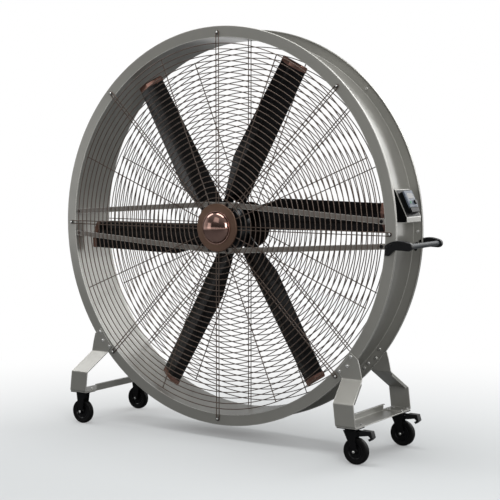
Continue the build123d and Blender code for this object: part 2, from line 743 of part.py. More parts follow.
def swivel_fork():
    """Fork under the race, with the ears and the pin that carry the brake pedal."""
    body = fork(CASTER_X, FORK_TOP_Z, WHEEL_X)
    ear = polygon(
        (CASTER_X, FORK_TOP_Z),
        (PEDAL_X + EAR_MARGIN, FORK_TOP_Z),
        (PEDAL_X + EAR_MARGIN, PEDAL_Z - EAR_MARGIN),
        (WHEEL_X, PEDAL_Z - EAR_REACH - EAR_MARGIN),
    )
    half = FORK_HALF + CASTER_SHEET
    cutter = Rectangle(4 * WHEEL_R, 4 * WHEEL_R)
    between = caster_slab(Pos(CASTER_X, FORK_TOP_Z) * cutter, FORK_HALF)
    ears = caster_slab(ear, half) - between
    pedal_pin = caster_peg(PEDAL_PIN_R, PEDAL_X, PEDAL_Z, half)
    hole = Pos(CASTER_X, -CASTER_Y, FORK_TOP_Z) * Cylinder(
        KINGPIN_R + RUNNING_FIT, 3 * CASTER_SHEET
    )
    return body + ears + pedal_pin - hole


def brake_pedal():
    """Foot lever on its pin between the ears, with a tread and a turned-down nose."""
    tread_z = CASTER_PLATE_BOTTOM - PEDAL_CLEARANCE
    nose_x = WHEEL_X + PEDAL_REACH
    sheet = PEDAL_SHEET
    outline = polygon(
        (PEDAL_X - sheet, PEDAL_Z + sheet),
        (PEDAL_X + 1.5 * sheet, PEDAL_Z + sheet),
        (PEDAL_X + 3 * sheet, tread_z),
        (nose_x - PEDAL_BEVEL, tread_z),
        (nose_x, tread_z - PEDAL_NOSE),
        (nose_x - PEDAL_HOOK, tread_z - PEDAL_NOSE - 0.9 * PEDAL_HOOK),
        (nose_x - PEDAL_HOOK - sheet, tread_z - PEDAL_NOSE - 0.4 * PEDAL_HOOK),
        (nose_x - 2 * sheet, tread_z - PEDAL_NOSE),
        (nose_x - PEDAL_BEVEL - 2 * sheet, tread_z - PEDAL_DEPTH),
        (PEDAL_X + 3 * sheet, tread_z - PEDAL_DEPTH - sheet),
        (PEDAL_X + 1.5 * sheet, PEDAL_Z - 1.5 * sheet),
        (PEDAL_X - sheet, PEDAL_Z - sheet),
    )
    lever = caster_slab(outline, PEDAL_WIDTH / 2)
    return lever - caster_peg(
        PEDAL_PIN_R + RUNNING_FIT, PEDAL_X, PEDAL_Z, PEDAL_WIDTH
    )


# ---------------------------------------------------------------- handle
def tube_x():
    return HANDLE_REACH - HANDLE_END_R


def handle_tube():
    half = FACE_Y + TUBE_SEAT
    return peg(HANDLE_TUBE_R, tube_x(), -HANDLE_DROP, -half, half)


def front_handle_bracket():
    """Moulded bracket: a foot on the flange, an arched arm and a round end on the tube."""
    x = tube_x()
    saddle_low = (SADDLE_X, -HANDLE_DROP - SADDLE_FALL)
    saddle_high = (SADDLE_X, -HANDLE_DROP + SADDLE_RISE)
    arch = (SADDLE_X + ARCH_REACH, -HANDLE_DROP + ARCH_RISE)
    end_top = (x, -HANDLE_DROP + HANDLE_END_R)
    end_nose = (HANDLE_REACH, -HANDLE_DROP)
    end_bottom = (x, -HANDLE_DROP - HANDLE_END_R)
    elbow = (SADDLE_X + ELBOW_REACH, -HANDLE_DROP - ELBOW_FALL)
    saddle_corner = (SADDLE_X + SADDLE_WIDTH, -HANDLE_DROP - SADDLE_FALL)
    edges = [
        Line(saddle_low, saddle_high),
        ThreePointArc(saddle_high, arch, end_top),
        ThreePointArc(end_top, end_nose, end_bottom),
        Polyline(end_bottom, elbow, saddle_corner, saddle_low),
    ]
    body = front_slab(make_face(edges), -FACE_Y - HANDLE_BRACKET, -FACE_Y)
    seat = peg(HANDLE_TUBE_R, x, -HANDLE_DROP, -FACE_Y - TUBE_SEAT, -FACE_Y)
    return body - seat


def handle_screws():
    """Three screws in each bracket's foot."""
    outer = -FACE_Y - HANDLE_BRACKET
    front = []
    for x, z in HANDLE_SCREW_PLACES:
        place = (SADDLE_X + x, z - HANDLE_DROP)
        front.append(bolt_head(HANDLE_SCREW_R, *place, outer, HANDLE_SCREW_HEAD))
    return front + [to_rear(head) for head in front]


# ---------------------------------------------------------------- control housing
def control_housing():
    """Wedge-shaped sheet housing on the drum's outside, thin above and deep at its shelf."""
    outline = polygon(
        (INNER_R - HOUSING_TOP / 2, HOUSING_TOP),
        (HOUSING_TOP_X, HOUSING_TOP),
        (HOUSING_SHELF_X, HOUSING_SHELF),
        (HOUSING_SHELF_X, HOUSING_BOTTOM),
        (INNER_R - HOUSING_TOP / 2, HOUSING_BOTTOM),
    )
    half = HOUSING_WIDTH / 2
    block = front_slab(outline, -half, half)
    inside = offset(outline, amount=-SHEET, kind=Kind.INTERSECTION)
    hollow = front_slab(inside, SHEET - half, half - SHEET)
    return block - hollow - disc(SHELL_R, -half, half)


def drive_place(along, proud):
    """A point on the housing's slanted face: along it from its top edge, and proud of it."""
    run = HOUSING_SHELF_X - HOUSING_TOP_X
    fall = HOUSING_TOP - HOUSING_SHELF
    length = hypot(run, fall)
    return Plane(
        origin=(
            HOUSING_TOP_X + (run * along + fall * proud) / length,
            0,
            HUB_HEIGHT + HOUSING_TOP + (run * proud - fall * along) / length,
        ),
        x_dir=(0, 1, 0),
        z_dir=(fall, 0, run),
    )


def drive_base():
    middle = DRIVE_TOP_MARGIN + DRIVE_LENGTH / 2
    return extrude(
        drive_place(middle, 0) * Rectangle(DRIVE_WIDTH, DRIVE_LENGTH), amount=DRIVE_BASE
    )


def drive_cover():
    """Front cover of the speed controller, with wells for the knob's stem and the key."""
    middle = DRIVE_TOP_MARGIN + COVER_LENGTH / 2
    cover = extrude(
        drive_place(middle, DRIVE_BASE) * Rectangle(DRIVE_WIDTH, COVER_LENGTH),
        amount=DRIVE_COVER,
    )
    cover = chamfer(cover.edges().filter_by(Axis.Y).sort_by(Axis.X)[-2:], COVER_BEVEL)
    stem_well = extrude(
        knob_plane(DRIVE_BASE) * Circle(KNOB_STEM_R + RUNNING_FIT), amount=DRIVE_COVER
    )
    key_well = extrude(
        key_plane(DRIVE_BASE)
        * Rectangle(KEY_SIZE + 2 * KEY_CLEARANCE, KEY_SIZE + 2 * KEY_CLEARANCE),
        amount=DRIVE_COVER,
    )
    return cover - stem_well - key_well


def terminal_cover():
    """Lower cover over the controller's terminals."""
    length = DRIVE_LENGTH - COVER_LENGTH
    middle = DRIVE_TOP_MARGIN + COVER_LENGTH + length / 2
    return extrude(
        drive_place(middle, DRIVE_BASE) * Rectangle(DRIVE_WIDTH, length),
        amount=DRIVE_COVER - TERMINAL_STEP,
    )


def knob_plane(proud):
    along = DRIVE_TOP_MARGIN + COVER_LENGTH - CONTROL_MARGIN
    return drive_place(along, proud) * Pos(DRIVE_WIDTH / 4, 0)


def key_plane(proud):
    along = DRIVE_TOP_MARGIN + COVER_LENGTH - CONTROL_MARGIN
    return drive_place(along, proud) * Pos(-DRIVE_WIDTH / 4, 0)


def speed_knob():
    """Fluted knob on a stem that turns in the cover."""
    stem = extrude(
        knob_plane(DRIVE_BASE + 1) * Circle(KNOB_STEM_R), amount=DRIVE_COVER
    )
    cap = extrude(
        knob_plane(DRIVE_BASE + DRIVE_COVER + KEY_CLEARANCE) * RegularPolygon(KNOB_R, 12),
        amount=KNOB_HEIGHT,
    )
    return stem + cap


def start_key():
    """Square key that is pushed into the cover."""
    start = DRIVE_BASE + KEY_TRAVEL + KEY_CLEARANCE
    return extrude(
        key_plane(start) * Rectangle(KEY_SIZE, KEY_SIZE),
        amount=DRIVE_COVER - KEY_TRAVEL - KEY_CLEARANCE + KEY_PROUD,
    )


# ---------------------------------------------------------------- write the pieces
save("drum_shell", drum_shell())
save("front_flange", front_flange())
save("rear_flange", to_rear(front_flange()))

guard = front_guard()
save("front_guard", *guard)
save("rear_guard", *[to_rear(wire) for wire in guard])
save("front_centre_disc", centre_disc())
save("rear_centre_disc", to_rear(centre_disc()))
save("centre_dome", centre_dome())
save("guard_bolts", *guard_bolts())

save("upper_cross_bar", upper_bar())
save("lower_cross_bar", mirror(upper_bar(), about=Plane.XY.offset(HUB_HEIGHT)))
save("bar_end_brackets", *bar_end_brackets())
save("bar_bolts", *bar_bolts())
save("motor_plate", motor_plate())
save("motor_axle", motor_axle())
save("motor_stator", motor_stator())
save("rotor_shell", rotor_shell())
save("hub_nut", hub_nut())

blade_angles = [index * 360 / BLADE_COUNT for index in range(BLADE_COUNT)]
one_blade = blade()
for number, angle in enumerate(blade_angles, start=1):
    save(f"blade_{number}", turn(one_blade, angle))
save("blade_tip_caps", *[turn(tip_cap(), angle) for angle in blade_angles])
save("blade_arms", *[turn(blade_arm(), angle) for angle in blade_angles])

leg = front_right_leg()
save("front_right_leg", leg)
save("rear_right_leg", to_rear(leg))
save("front_left_leg", to_left(leg))
save("rear_left_leg", to_left(to_rear(leg)))
save("leg_bolts", *leg_bolts())
save("right_rail", right_rail())
save("left_rail", to_left(right_rail()))
save("caster_bolts", *caster_bolts())

save("front_left_rigid_fork", rigid_fork())
save("rear_left_rigid_fork", to_rear(rigid_fork()))
save("front_left_wheel", to_left(wheel(CASTER_X)))
save("rear_left_wheel", to_left(to_rear(wheel(CASTER_X))))

for name, place in (("front_right", lambda piece: piece), ("rear_right", to_rear)):
    save(f"{name}_swivel_plate", place(swivel_plate()))
    save(f"{name}_swivel_fork", place(swivel_fork()))
    save(f"{name}_wheel", place(wheel(WHEEL_X)))
    save(f"{name}_brake_pedal", place(brake_pedal()))

save("handle_tube", handle_tube())
save("front_handle_bracket", front_handle_bracket())
save("rear_handle_bracket", to_rear(front_handle_bracket()))
save("handle_screws", *handle_screws())

save("control_housing", control_housing())
save("drive_base", drive_base())
save("drive_cover", drive_cover())
save("terminal_cover", terminal_cover())
save("speed_knob", speed_knob())
save("start_key", start_key())
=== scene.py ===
# %% [markdown]
# # A two-metre drum fan on casters
# The real fan is a rolled steel drum with a flange and a wire guard at each end. Six long blades
# turn on a flat motor behind the front guard, and the whole thing stands on two pairs of bent
# sheet legs with casters. The solid model already holds every piece in its place, so this script
# only dresses it: some solids keep their shape and get a finish, others are hidden and a finer
# mesh stands for them.

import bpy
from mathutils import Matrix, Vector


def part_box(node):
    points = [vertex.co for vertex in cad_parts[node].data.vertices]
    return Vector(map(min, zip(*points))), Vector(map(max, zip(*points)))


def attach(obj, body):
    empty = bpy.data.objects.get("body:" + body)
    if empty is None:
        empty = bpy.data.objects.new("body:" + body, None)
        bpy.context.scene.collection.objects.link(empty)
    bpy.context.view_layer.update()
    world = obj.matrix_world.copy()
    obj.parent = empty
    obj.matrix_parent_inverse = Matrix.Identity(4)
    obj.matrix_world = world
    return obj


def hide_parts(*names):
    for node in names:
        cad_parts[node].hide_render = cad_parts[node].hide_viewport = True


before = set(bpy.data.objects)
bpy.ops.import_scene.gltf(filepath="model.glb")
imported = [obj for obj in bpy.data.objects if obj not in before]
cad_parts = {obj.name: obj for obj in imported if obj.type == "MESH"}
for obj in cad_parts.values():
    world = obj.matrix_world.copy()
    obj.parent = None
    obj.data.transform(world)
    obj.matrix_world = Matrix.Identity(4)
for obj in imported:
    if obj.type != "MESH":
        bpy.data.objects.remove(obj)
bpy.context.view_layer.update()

# %% [markdown]
# ## Units and the fan's own axes
# Blender works in metres, but sheet, wire and bolts are millimetre work. All shapes below are
# therefore drawn in millimetres from the middle of the drum: X across, Y along the fan axis with
# the front guard at minus Y, and Z up. One matrix takes them to the world. The drum's own box in
# the solid model says where its middle is, so nothing has to be fitted by eye.

# %% Measure the drum and make the matrix
from math import acos, atan2, cos, hypot, pi, radians, sin, sqrt, tan

import bmesh
import bpy
from mathutils import Matrix, Vector

MM = 0.001
drum_low, drum_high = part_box("drum_shell")
AXIS = (drum_low + drum_high) / 2
TO_WORLD = Matrix.Translation(AXIS) @ Matrix.Scale(MM, 4)


def box_mm(node):
    """A solid's lowest and highest corners, in millimetres from the middle of the drum."""
    low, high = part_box(node)
    return (low - AXIS) / MM, (high - AXIS) / MM


SHELL_R = box_mm("drum_shell")[1].x
FLANGE_R = box_mm("front_flange")[1].x
FACE_Y = -box_mm("front_flange")[0].y
SHEET = 3.0
INNER_R = SHELL_R - SHEET
FLOOR_Z = -AXIS.z / MM
print(f"flange radius {FLANGE_R:.1f} mm, half depth {FACE_Y:.1f} mm, axis {-FLOOR_Z:.0f} mm up")

# %% [markdown]
# ## One way to write a colour, one way to add a node
# Colours are easiest to read as the hex values of a screen, but shaders count light, which is
# linear. One function does that sum. Node trees are long to write out, so a second function adds
# any node with its settings and fills its inputs, either with a value or with a link.

# %% Colour and node helpers
def linear(hex_colour):
    """An sRGB hex colour as the linear RGBA that a shader expects."""
    channels = [int(hex_colour[i:i + 2], 16) / 255 for i in (1, 3, 5)]
    return [c / 12.92 if c <= 0.04045 else ((c + 0.055) / 1.055) ** 2.4 for c in channels] + [1]


def add(tree, kind, inputs=(), **settings):
    """Adds a node of that kind, with its settings, and with values or links for its inputs."""
    node = tree.nodes.new("ShaderNode" + kind)
    for name, value in settings.items():
        setattr(node, name, value)
    for name, value in dict(inputs).items():
        if isinstance(value, bpy.types.NodeSocket):
            tree.links.new(value, node.inputs[name])
        else:
            node.inputs[name].default_value = value
    return node


# %% [markdown]
# ## One recipe for every surface
# Painted, plated, cast or moulded, each surface of the fan is told by the same three things: two
# close tones, an uneven gloss and a fine relief. Each follows a soft noise whose blobs have a
# real size in millimetres. A surface with a pattern of its own, such as the rings of a spun
# disc, hands that in for its gloss and relief.

# %% The recipe
def surface(name, tones, rough, sizes_mm, relief, values, details=(3.0, 3.0, 3.0), pattern=None):
    """A material whose tone, roughness and relief follow noises of those sizes and details.

    tones and rough go from their first value to their second, relief is a depth in mm and a
    strength, and values go straight to the shader's own sockets.
    """
    material = bpy.data.materials.new(name)
    material.use_nodes = True
    tree = material.node_tree
    shader = tree.nodes["Principled BSDF"]
    place = add(tree, "TexCoord").outputs["Object"]
    factors = [add(tree, "TexNoise", {"Vector": place, "Scale": 1 / (size * MM),
                                      "Detail": detail}).outputs["Fac"]
               for size, detail in zip(sizes_mm, details)]
    if pattern:
        factors += [pattern(tree, place)] * 2
    ramp = add(tree, "ValToRGB", {"Fac": factors[0]})
    for stop, tone in zip(ramp.color_ramp.elements, tones):
        stop.color = linear(tone)
    spread = add(tree, "MapRange", {"Value": factors[1], "To Min": rough[0], "To Max": rough[1]})
    bump = add(tree, "Bump", {"Height": factors[2], "Distance": relief[0] * MM,
                              "Strength": relief[1]})
    tree.links.new(ramp.outputs["Color"], shader.inputs["Base Color"])
    tree.links.new(spread.outputs["Result"], shader.inputs["Roughness"])
    tree.links.new(bump.outputs["Normal"], shader.inputs["Normal"])
    for socket, value in values.items():
        shader.inputs[socket].default_value = value
    return material


# %% [markdown]
# ## Painted steel
# Drum, flanges, legs and rails are mild steel sheet with a grey stove enamel. Fine metal flake in
# the paint makes it brighten towards the light, and a thin clear top layer gives sharp, weak
# reflections. Sprayed enamel never lies quite flat: it has orange peel, ripples about 4 mm
# across, and its tone drifts a little over some 200 mm. The ripples are left as a height
# pattern, since they are microns deep and change no outline. Along the edges a light tone is
# painted into the colour: a painted highlight, for the light that a rounded edge catches. A
# bevelled normal leaves the true one only near an edge, so the angle between the two says where
# that is.

# %% Grey stove enamel
PEEL_MM = 4.0
DRIFT_MM = 220.0
GLOSS_MM = 60.0
EDGE_MM = 6.0
# Light tone of the painted edge highlight.
EDGE_HIGHLIGHT_TONE = "#d6d5cf"
NO_EDGE, FULL_EDGE = 0.98, 0.78


def stove_enamel(name, dark, light, flake, roughness):
    """The recipe, with a painted highlight along the edges."""
    values = {"Metallic": flake, "Coat Weight": 0.35, "Coat Roughness": 0.12}
    material = surface(name, (dark, light), (roughness - 0.05, roughness + 0.06),
                       (DRIFT_MM, GLOSS_MM, PEEL_MM), (0.05, 0.5), values, (2.0, 3.0, 1.0))
    tree = material.node_tree
    colour = tree.nodes["Principled BSDF"].inputs["Base Color"]
    rounded = add(tree, "Bevel", {"Radius": EDGE_MM * MM}, samples=4).outputs["Normal"]
    straight = add(tree, "NewGeometry").outputs["Normal"]
    alike = add(tree, "VectorMath", {0: rounded, 1: straight}, operation="DOT_PRODUCT")
    # Painted highlight: close to an edge the colour is mixed towards the light edge tone.
    edge_highlight = add(tree, "MapRange", {"Value": alike.outputs["Value"], "From Min": NO_EDGE,
                                  "From Max": FULL_EDGE})
    tone = add(tree, "MixRGB", {"Fac": edge_highlight.outputs["Result"], "Color2": linear(EDGE_HIGHLIGHT_TONE),
                                "Color1": colour.links[0].from_socket})
    tree.links.new(tone.outputs["Color"], colour)
    return material


drum_enamel = stove_enamel("grey_stove_enamel", "#81807b", "#8d8c86", 0.4, 0.33)
bar_enamel = stove_enamel("bar_stove_enamel", "#69645e", "#746f69", 0.2, 0.42)
print("enamel ripples", PEEL_MM, "mm, tone drifts over", DRIFT_MM, "mm")

# %% [markdown]
# ## Bronze-coloured metals
# The guard is welded from drawn steel wire and dipped in a bronze lacquer, which looks brown with
# a warm gleam and hides half of the metal. The cover disc has the same colour on spun steel:
# spinning leaves fine rings about the middle. The rear disc gets a much darker copy of that
# finish, which is painted shade: its inner face lies in shade. The dome is polished copper
# plate, so it is nearly a mirror. The blade caps are copper-coloured too, but satin. In a metal
# the colour sits in the reflection itself, so mostly the roughness tells these apart.

# %% Wire lacquer, spun disc, polished dome and satin caps
RINGS_PER_METRE = 400.0


def spun_rings(tree, place):
    """Noise that changes only with the distance from the fan axis."""
    from_axis = add(tree, "VectorMath", {0: place, 1: AXIS}, operation="SUBTRACT")
    across = add(tree, "VectorMath", {0: from_axis.outputs[0], 1: (1, 0, 1)}, operation="MULTIPLY")
    radius = add(tree, "VectorMath", {0: across.outputs[0]}, operation="LENGTH")
    return add(tree, "TexNoise", {"W": radius.outputs["Value"], "Scale": RINGS_PER_METRE},
               noise_dimensions="1D").outputs["Fac"]


wire_lacquer = surface("bronze_wire_lacquer", ("#483d36", "#5f5148"), (0.32, 0.5),
                       (30.0, 30.0, 1.5), (0.05, 0.4), {"Metallic": 0.5})
# The second finish, a much darker copy, is painted shade for the rear disc.
disc_bronze, disc_painted_shade = (
    surface(name, tones, (0.34, 0.52), (60.0,), (0.05, 0.5), {"Metallic": 0.8}, pattern=spun_rings)
    for name, tones in (("bronze_spun_steel", ("#5d483c", "#745c4e")),
                        ("bronze_spun_steel_painted_shade", ("#1d1715", "#2a221e"))))
dome_copper = surface("polished_copper_plate", ("#8c7068", "#a18379"), (0.09, 0.16),
                      (40.0, 9.0, 25.0), (0.06, 0.4), {"Metallic": 1.0}, (3.0, 3.0, 1.0))
cap_copper = surface("satin_copper_cap", ("#88665a", "#a58277"), (0.14, 0.26),
                     (35.0, 8.0, 1.2), (0.03, 0.5), {"Metallic": 1.0})

# %% [markdown]
# ## Blades, castings and bare steel
# The blades are aluminium extrusions, anodised black: the die leaves straight lines along the
# blade, a fraction of a millimetre apart, drawn here at 2 mm so that they show. The motor
# shell is an aluminium casting, painted black over its grain. Most bolts are zinc plated, bright
# with a faint cloudiness. The bolts of the bars and of the handle, and the washers under the
# guard's bolts, are blacked and oiled.

# %% Anodised, cast, plated and blacked metal
DIE_LINE_MM = 2.0
LINE_STRETCH = (0.02, 1.0, 0.02)


def die_lines(tree, place):
    """Noise drawn out into long lines."""
    from_axis = add(tree, "VectorMath", {0: place, 1: AXIS}, operation="SUBTRACT")
    drawn_out = add(tree, "Mapping", {"Vector": from_axis.outputs[0], "Scale": LINE_STRETCH})
    return add(tree, "TexNoise", {"Vector": drawn_out.outputs["Vector"], "Detail": 2.0,
                                  "Scale": 1 / (DIE_LINE_MM * MM)}).outputs["Fac"]


def metal(name, tones, metallic, rough, grain_mm, depth_mm, **more):
    """Cast, plated or blacked metal, with clouds 12 times as wide as its grain."""
    return surface(name, tones, rough, (12 * grain_mm, 5 * grain_mm, grain_mm), (depth_mm, 0.6),
                   {"Metallic": metallic, **more})


blade_black = surface("black_anodised_extrusion", ("#030202", "#060505"), (0.12, 0.18), (90.0,),
                      (0.04, 0.08), {"Specular IOR Level": 0.32}, pattern=die_lines)
cast_aluminium = metal("black_cast_aluminium", ("#121517", "#1e2225"), 0.6, (0.3, 0.45), 1.5, 0.12)
zinc_plate = metal("zinc_plated_steel", ("#bfc0bf", "#e2e1dd"), 0.9, (0.2, 0.34), 1.0, 0.03)
blacked_steel = metal("blacked_steel", ("#0d0d0e", "#19191a"), 0.6, (0.16, 0.3), 1.0, 0.03)
turned_steel = metal("turned_steel", ("#84868a", "#a3a5a8"), 1.0, (0.22, 0.34), 0.8, 0.03)
core_steel = metal("lamination_steel", ("#4d4c49", "#62605c"), 0.9, (0.35, 0.5), 0.8, 0.05)
fork_coat = metal("black_electrocoat", ("#050506", "#0a0a0b"), 0.0, (0.26, 0.4), 2.0, 0.04,
                  **{"Specular IOR Level": 0.15})

# %% [markdown]
# ## Plastics and rubber
# Moulded parts take the texture of the tool: a spark-eroded grain about a millimetre wide on the
# handle brackets and the controller. Tyres are solid rubber, matt, with a faint uneven bloom.
# The handle tube is powder coated, and that is a plastic too: it melts into a fine, matt skin.

# %% Moulded plastics, tyre rubber and powder coat
def moulded(name, tones, rough, grain_mm=1.0, gloss=0.5):
    """Moulded plastic or rubber: no metal in it, and the tool's grain pressed into it."""
    return surface(name, tones, rough, (45.0, 14.0, grain_mm), (0.08, 0.5),
                   {"Specular IOR Level": gloss})


black_nylon = moulded("black_nylon", ("#060708", "#0b0c0d"), (0.28, 0.42), gloss=0.25)
tyre_rubber = moulded("tyre_rubber", ("#040404", "#090909"), (0.4, 0.6), 0.8, 0.15)
wheel_nylon = moulded("wheel_centre_nylon", ("#040405", "#08080a"), (0.24, 0.38), 0.8, 0.2)
drive_grey = moulded("blue_grey_abs", ("#4e5661", "#5a626d"), (0.38, 0.5), 0.9)
drive_black = moulded("black_abs", ("#060607", "#0d0e0f"), (0.3, 0.45), 0.9, 0.15)
key_green = moulded("green_abs", ("#2f6b4a", "#3b7d58"), (0.35, 0.45), 0.9)
window_black = moulded("black_acrylic", ("#060708", "#0b0c0d"), (0.05, 0.09), 30.0)
tube_coat = moulded("grey_powder_coat", ("#292c2e", "#33373a"), (0.42, 0.54), 1.2, 0.3)
print("finishes made:", len(bpy.data.materials))

# %% [markdown]
# ## Three ways to make a shape
# Nearly every piece of a fan is turned, pressed from sheet, or bent from wire. So three small
# tools are enough. `turned` spins a profile about an axis, as a lathe does: with six steps it
# makes a hexagon head. `slab` pushes an outline through a thickness and rounds its edges.
# `bent_sheet` follows a folded path with a sheet of even thickness and gives each fold a radius,
# which is where the light lines on a real sheet leg come from.

# %% Turned shapes
def turned(bm, profile, centre=(0, 0, 0), axis="Y", steps=96, closed=False, place=Matrix()):
    """Spins (radius, along) points about an axis through centre. Closed makes a hollow ring."""
    rings = []
    for step in range(steps):
        angle = 2 * pi * step / steps
        ring = []
        for radius, along in profile:
            u, v = radius * cos(angle), radius * sin(angle)
            point = Vector((u, along, v) if axis == "Y" else (u, v, along))
            ring.append(bm.verts.new(place @ (Vector(centre) + point)))
        rings.append(ring)
    runs = len(profile) if closed else len(profile) - 1
    for step in range(steps):
        here, there = rings[step], rings[(step + 1) % steps]
        for run in range(runs):
            after = (run + 1) % len(profile)
            bm.faces.new((here[run], here[after], there[after], there[run]))


# %% Skins, slabs and bent sheet
SHARP_ABOVE = radians(30)


def skin(bm, loops, edge=0.0, place=Matrix(), segments=3):
    """Joins closed loops of points into one body, and rounds its sharp edges by edge."""
    rows = [[bm.verts.new(place @ Vector(point)) for point in loop] for loop in loops]
    faces = [bm.faces.new(rows[0]), bm.faces.new(rows[-1][::-1])]
    count = len(rows[0])
    for here, there in zip(rows, rows[1:]):
        for i in range(count):
            j = (i + 1) % count
            faces.append(bm.faces.new((here[i], here[j], there[j], there[i])))
    bmesh.ops.recalc_face_normals(bm, faces=faces)
    if edge:
        edges = dict.fromkeys(e for face in faces for e in face.edges)
        sharp = [e for e in edges if e.calc_face_angle(0) > SHARP_ABOVE]
        bmesh.ops.bevel(bm, geom=sharp, offset=edge, segments=segments, profile=0.6,
                        affect="EDGES", clamp_overlap=True)


def slab(bm, outline, low, high, axis="Y", edge=0.8, place=Matrix()):
    """Pushes an outline from low to high along an axis."""
    skin(bm, [[(a, depth, b) if axis == "Y" else (a, b, depth) for a, b in outline]
              for depth in (low, high)], edge, place)


def with_folds(path, radius, steps=5):
    """The path with each fold swapped for a curve, and its other columns carried along."""
    rounded = [path[0]]
    for before, corner, after in zip(path, path[1:], path[2:]):
        back, ahead = before - corner, after - corner
        back_length, ahead_length = hypot(back[0], back[1]), hypot(ahead[0], ahead[1])
        cosine = (back[0] * ahead[0] + back[1] * ahead[1]) / (back_length * ahead_length)
        half_turn = (pi - acos(max(-1, min(1, cosine)))) / 2
        reach = min(radius * tan(half_turn), 0.45 * back_length, 0.45 * ahead_length)
        if reach < 0.01 * radius:
            rounded.append(corner)
            continue
        start = corner + back * (reach / back_length)
        end = corner + ahead * (reach / ahead_length)
        for step in range(steps + 1):
            t = step / steps
            rounded.append(start * (1 - t) ** 2 + corner * 2 * t * (1 - t) + end * t ** 2)
    return rounded + [path[-1]]


def bent_sheet(bm, path, thickness, radius, along, edge=0.6, place=Matrix()):
    """Sheet along a path of (a, b, first side, second side).

    Along names the axis that the sides are measured on; a and b are the other two. The sheet
    grows to the left of the path's direction.
    """
    stations = with_folds([Vector(point) for point in path], radius)
    loops = []
    for index, (a, b, first, second) in enumerate(stations):
        before = stations[max(index - 1, 0)]
        after = stations[min(index + 1, len(stations) - 1)]
        angle = atan2(after[1] - before[1], after[0] - before[0]) + pi / 2
        inner_a, inner_b = a + thickness * cos(angle), b + thickness * sin(angle)
        corners = ((a, b, first), (a, b, second), (inner_a, inner_b, second),
                   (inner_a, inner_b, first))
        loops.append([(side, u, v) if along == "X" else (u, side, v) for u, v, side in corners])
    skin(bm, loops, edge, place, segments=2)


# %% [markdown]
# ## From mesh to piece
# A finished mesh becomes an object that rides on a body of the solid model, so that it moves
# with it, and may stand for a solid, which is then hidden. Faces that meet at less than 35
# degrees are shaded as one curve, and a weighted-normal modifier keeps the large flats flat.

# %% Make, place and name a piece
SMOOTH_BELOW = radians(35)
MERGE_MM = 0.001


def piece(name, bm, finish, stands_for=(), body="fan_frame"):
    """Makes the mesh, cleaned and shaded, into an object with its finish, and ties it down."""
    bmesh.ops.remove_doubles(bm, verts=bm.verts, dist=MERGE_MM)
    bmesh.ops.dissolve_degenerate(bm, edges=bm.edges, dist=MERGE_MM)
    bmesh.ops.recalc_face_normals(bm, faces=bm.faces)
    bmesh.ops.transform(bm, matrix=TO_WORLD, verts=bm.verts)
    mesh = bpy.data.meshes.new(name)
    bm.to_mesh(mesh)
    bm.free()
    mesh.shade_smooth()
    mesh.set_sharp_from_angle(angle=SMOOTH_BELOW)
    mesh.materials.append(finish)
    shape = bpy.data.objects.new(name, mesh)
    bpy.context.scene.collection.objects.link(shape)
    weighted = shape.modifiers.new("flat_faces", "WEIGHTED_NORMAL")
    weighted.keep_sharp = True
    settle(shape, body, stands_for)


def turned_piece(name, profile, finish, slot, stands_for=(), body="fan_frame", **how):
    """A piece that is one turned profile."""
    bm = bmesh.new()
    turned(bm, profile, **how)
    piece(name, bm, finish, stands_for, body)


def settle(shape, body, stands_for):
    """Ties a shape to its body, and hides the solids that it stands for."""
    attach(shape, body)
    if stands_for:
        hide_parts(*stands_for)


def soften(node, edge_mm, finish):
    """Keeps a solid as it is, with its sharp edges broken and a finish on it."""
    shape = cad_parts[node]
    shape.data.materials.clear()
    shape.data.materials.append(finish)
    for face in shape.data.polygons:
        face.use_smooth = True
    weld = shape.modifiers.new("weld", "WELD")
    weld.merge_threshold = 0.01 * MM
    bevel = shape.modifiers.new("broken_edges", "BEVEL")
    bevel.width = edge_mm * MM
    bevel.segments = 2
    bevel.limit_method = "ANGLE"
    bevel.angle_limit = SHARP_ABOVE
    bevel.use_clamp_overlap = True
    weighted = shape.modifiers.new("flat_faces", "WEIGHTED_NORMAL")
    weighted.keep_sharp = True


# %% [markdown]
# ## Bolts
# A bolt shows its head, a washer and, on the far side, a nut. Hexagon heads are turned with six
# steps and a chamfered top; the guard's bolts have round heads instead. A bolt is only a few
# millimetres across on a two-metre fan, but each head catches a spark of light.

# %% Bolt heads and washers
WASHER = 1.5
WASHER_SPREAD = 1.35
CHAMFER = 0.15
ROUND_SPREAD = 1.25
ROUND_WASHER = 1.2


def hex_head(bm, centre, radius, height, toward, axis="Y", place=Matrix()):
    """Hexagon head on a washer; toward is the side that the head points to, 1 or -1."""
    x, y, z = centre
    seat, flat = (y, (x, 0, z)) if axis == "Y" else (z, (x, y, 0))
    top, rim = seat + toward * height, seat + toward * WASHER
    shoulder = top - toward * CHAMFER * height
    wide = WASHER_SPREAD * radius
    turned(bm, [(0, seat), (wide, seat), (wide, rim), (0, rim)], flat, axis, 24, place=place)
    head = [(0, rim), (radius, rim), (radius, shoulder), ((1 - CHAMFER) * radius, top), (0, top)]
    turned(bm, head, flat, axis, 6, place=place)


def round_head(bm, centre, radius, height, toward, place=Matrix()):
    """Low round head on a thin washer."""
    x, seat, z = centre
    base = seat + toward * ROUND_WASHER
    wide = ROUND_SPREAD * radius
    dome = [(0, seat), (wide, seat), (wide, base), (radius, base)]
    for step in range(1, 7):
        angle = radians(15 * step)
        dome.append((radius * cos(angle), base + toward * (height - ROUND_WASHER) * sin(angle)))
    turned(bm, dome, (x, 0, z), "Y", 24, place=place)


def about_axis(degrees_up):
    """Turns about the fan axis, anticlockwise as seen from the front."""
    return Matrix.Rotation(radians(-degrees_up), 4, "Y")


SIDES = [Matrix.Diagonal((x, y, 1, 1)) for x in (1, -1) for y in (1, -1)]
FRONT_REAR = [Matrix.Diagonal((1, y, 1, 1)) for y in (1, -1)]

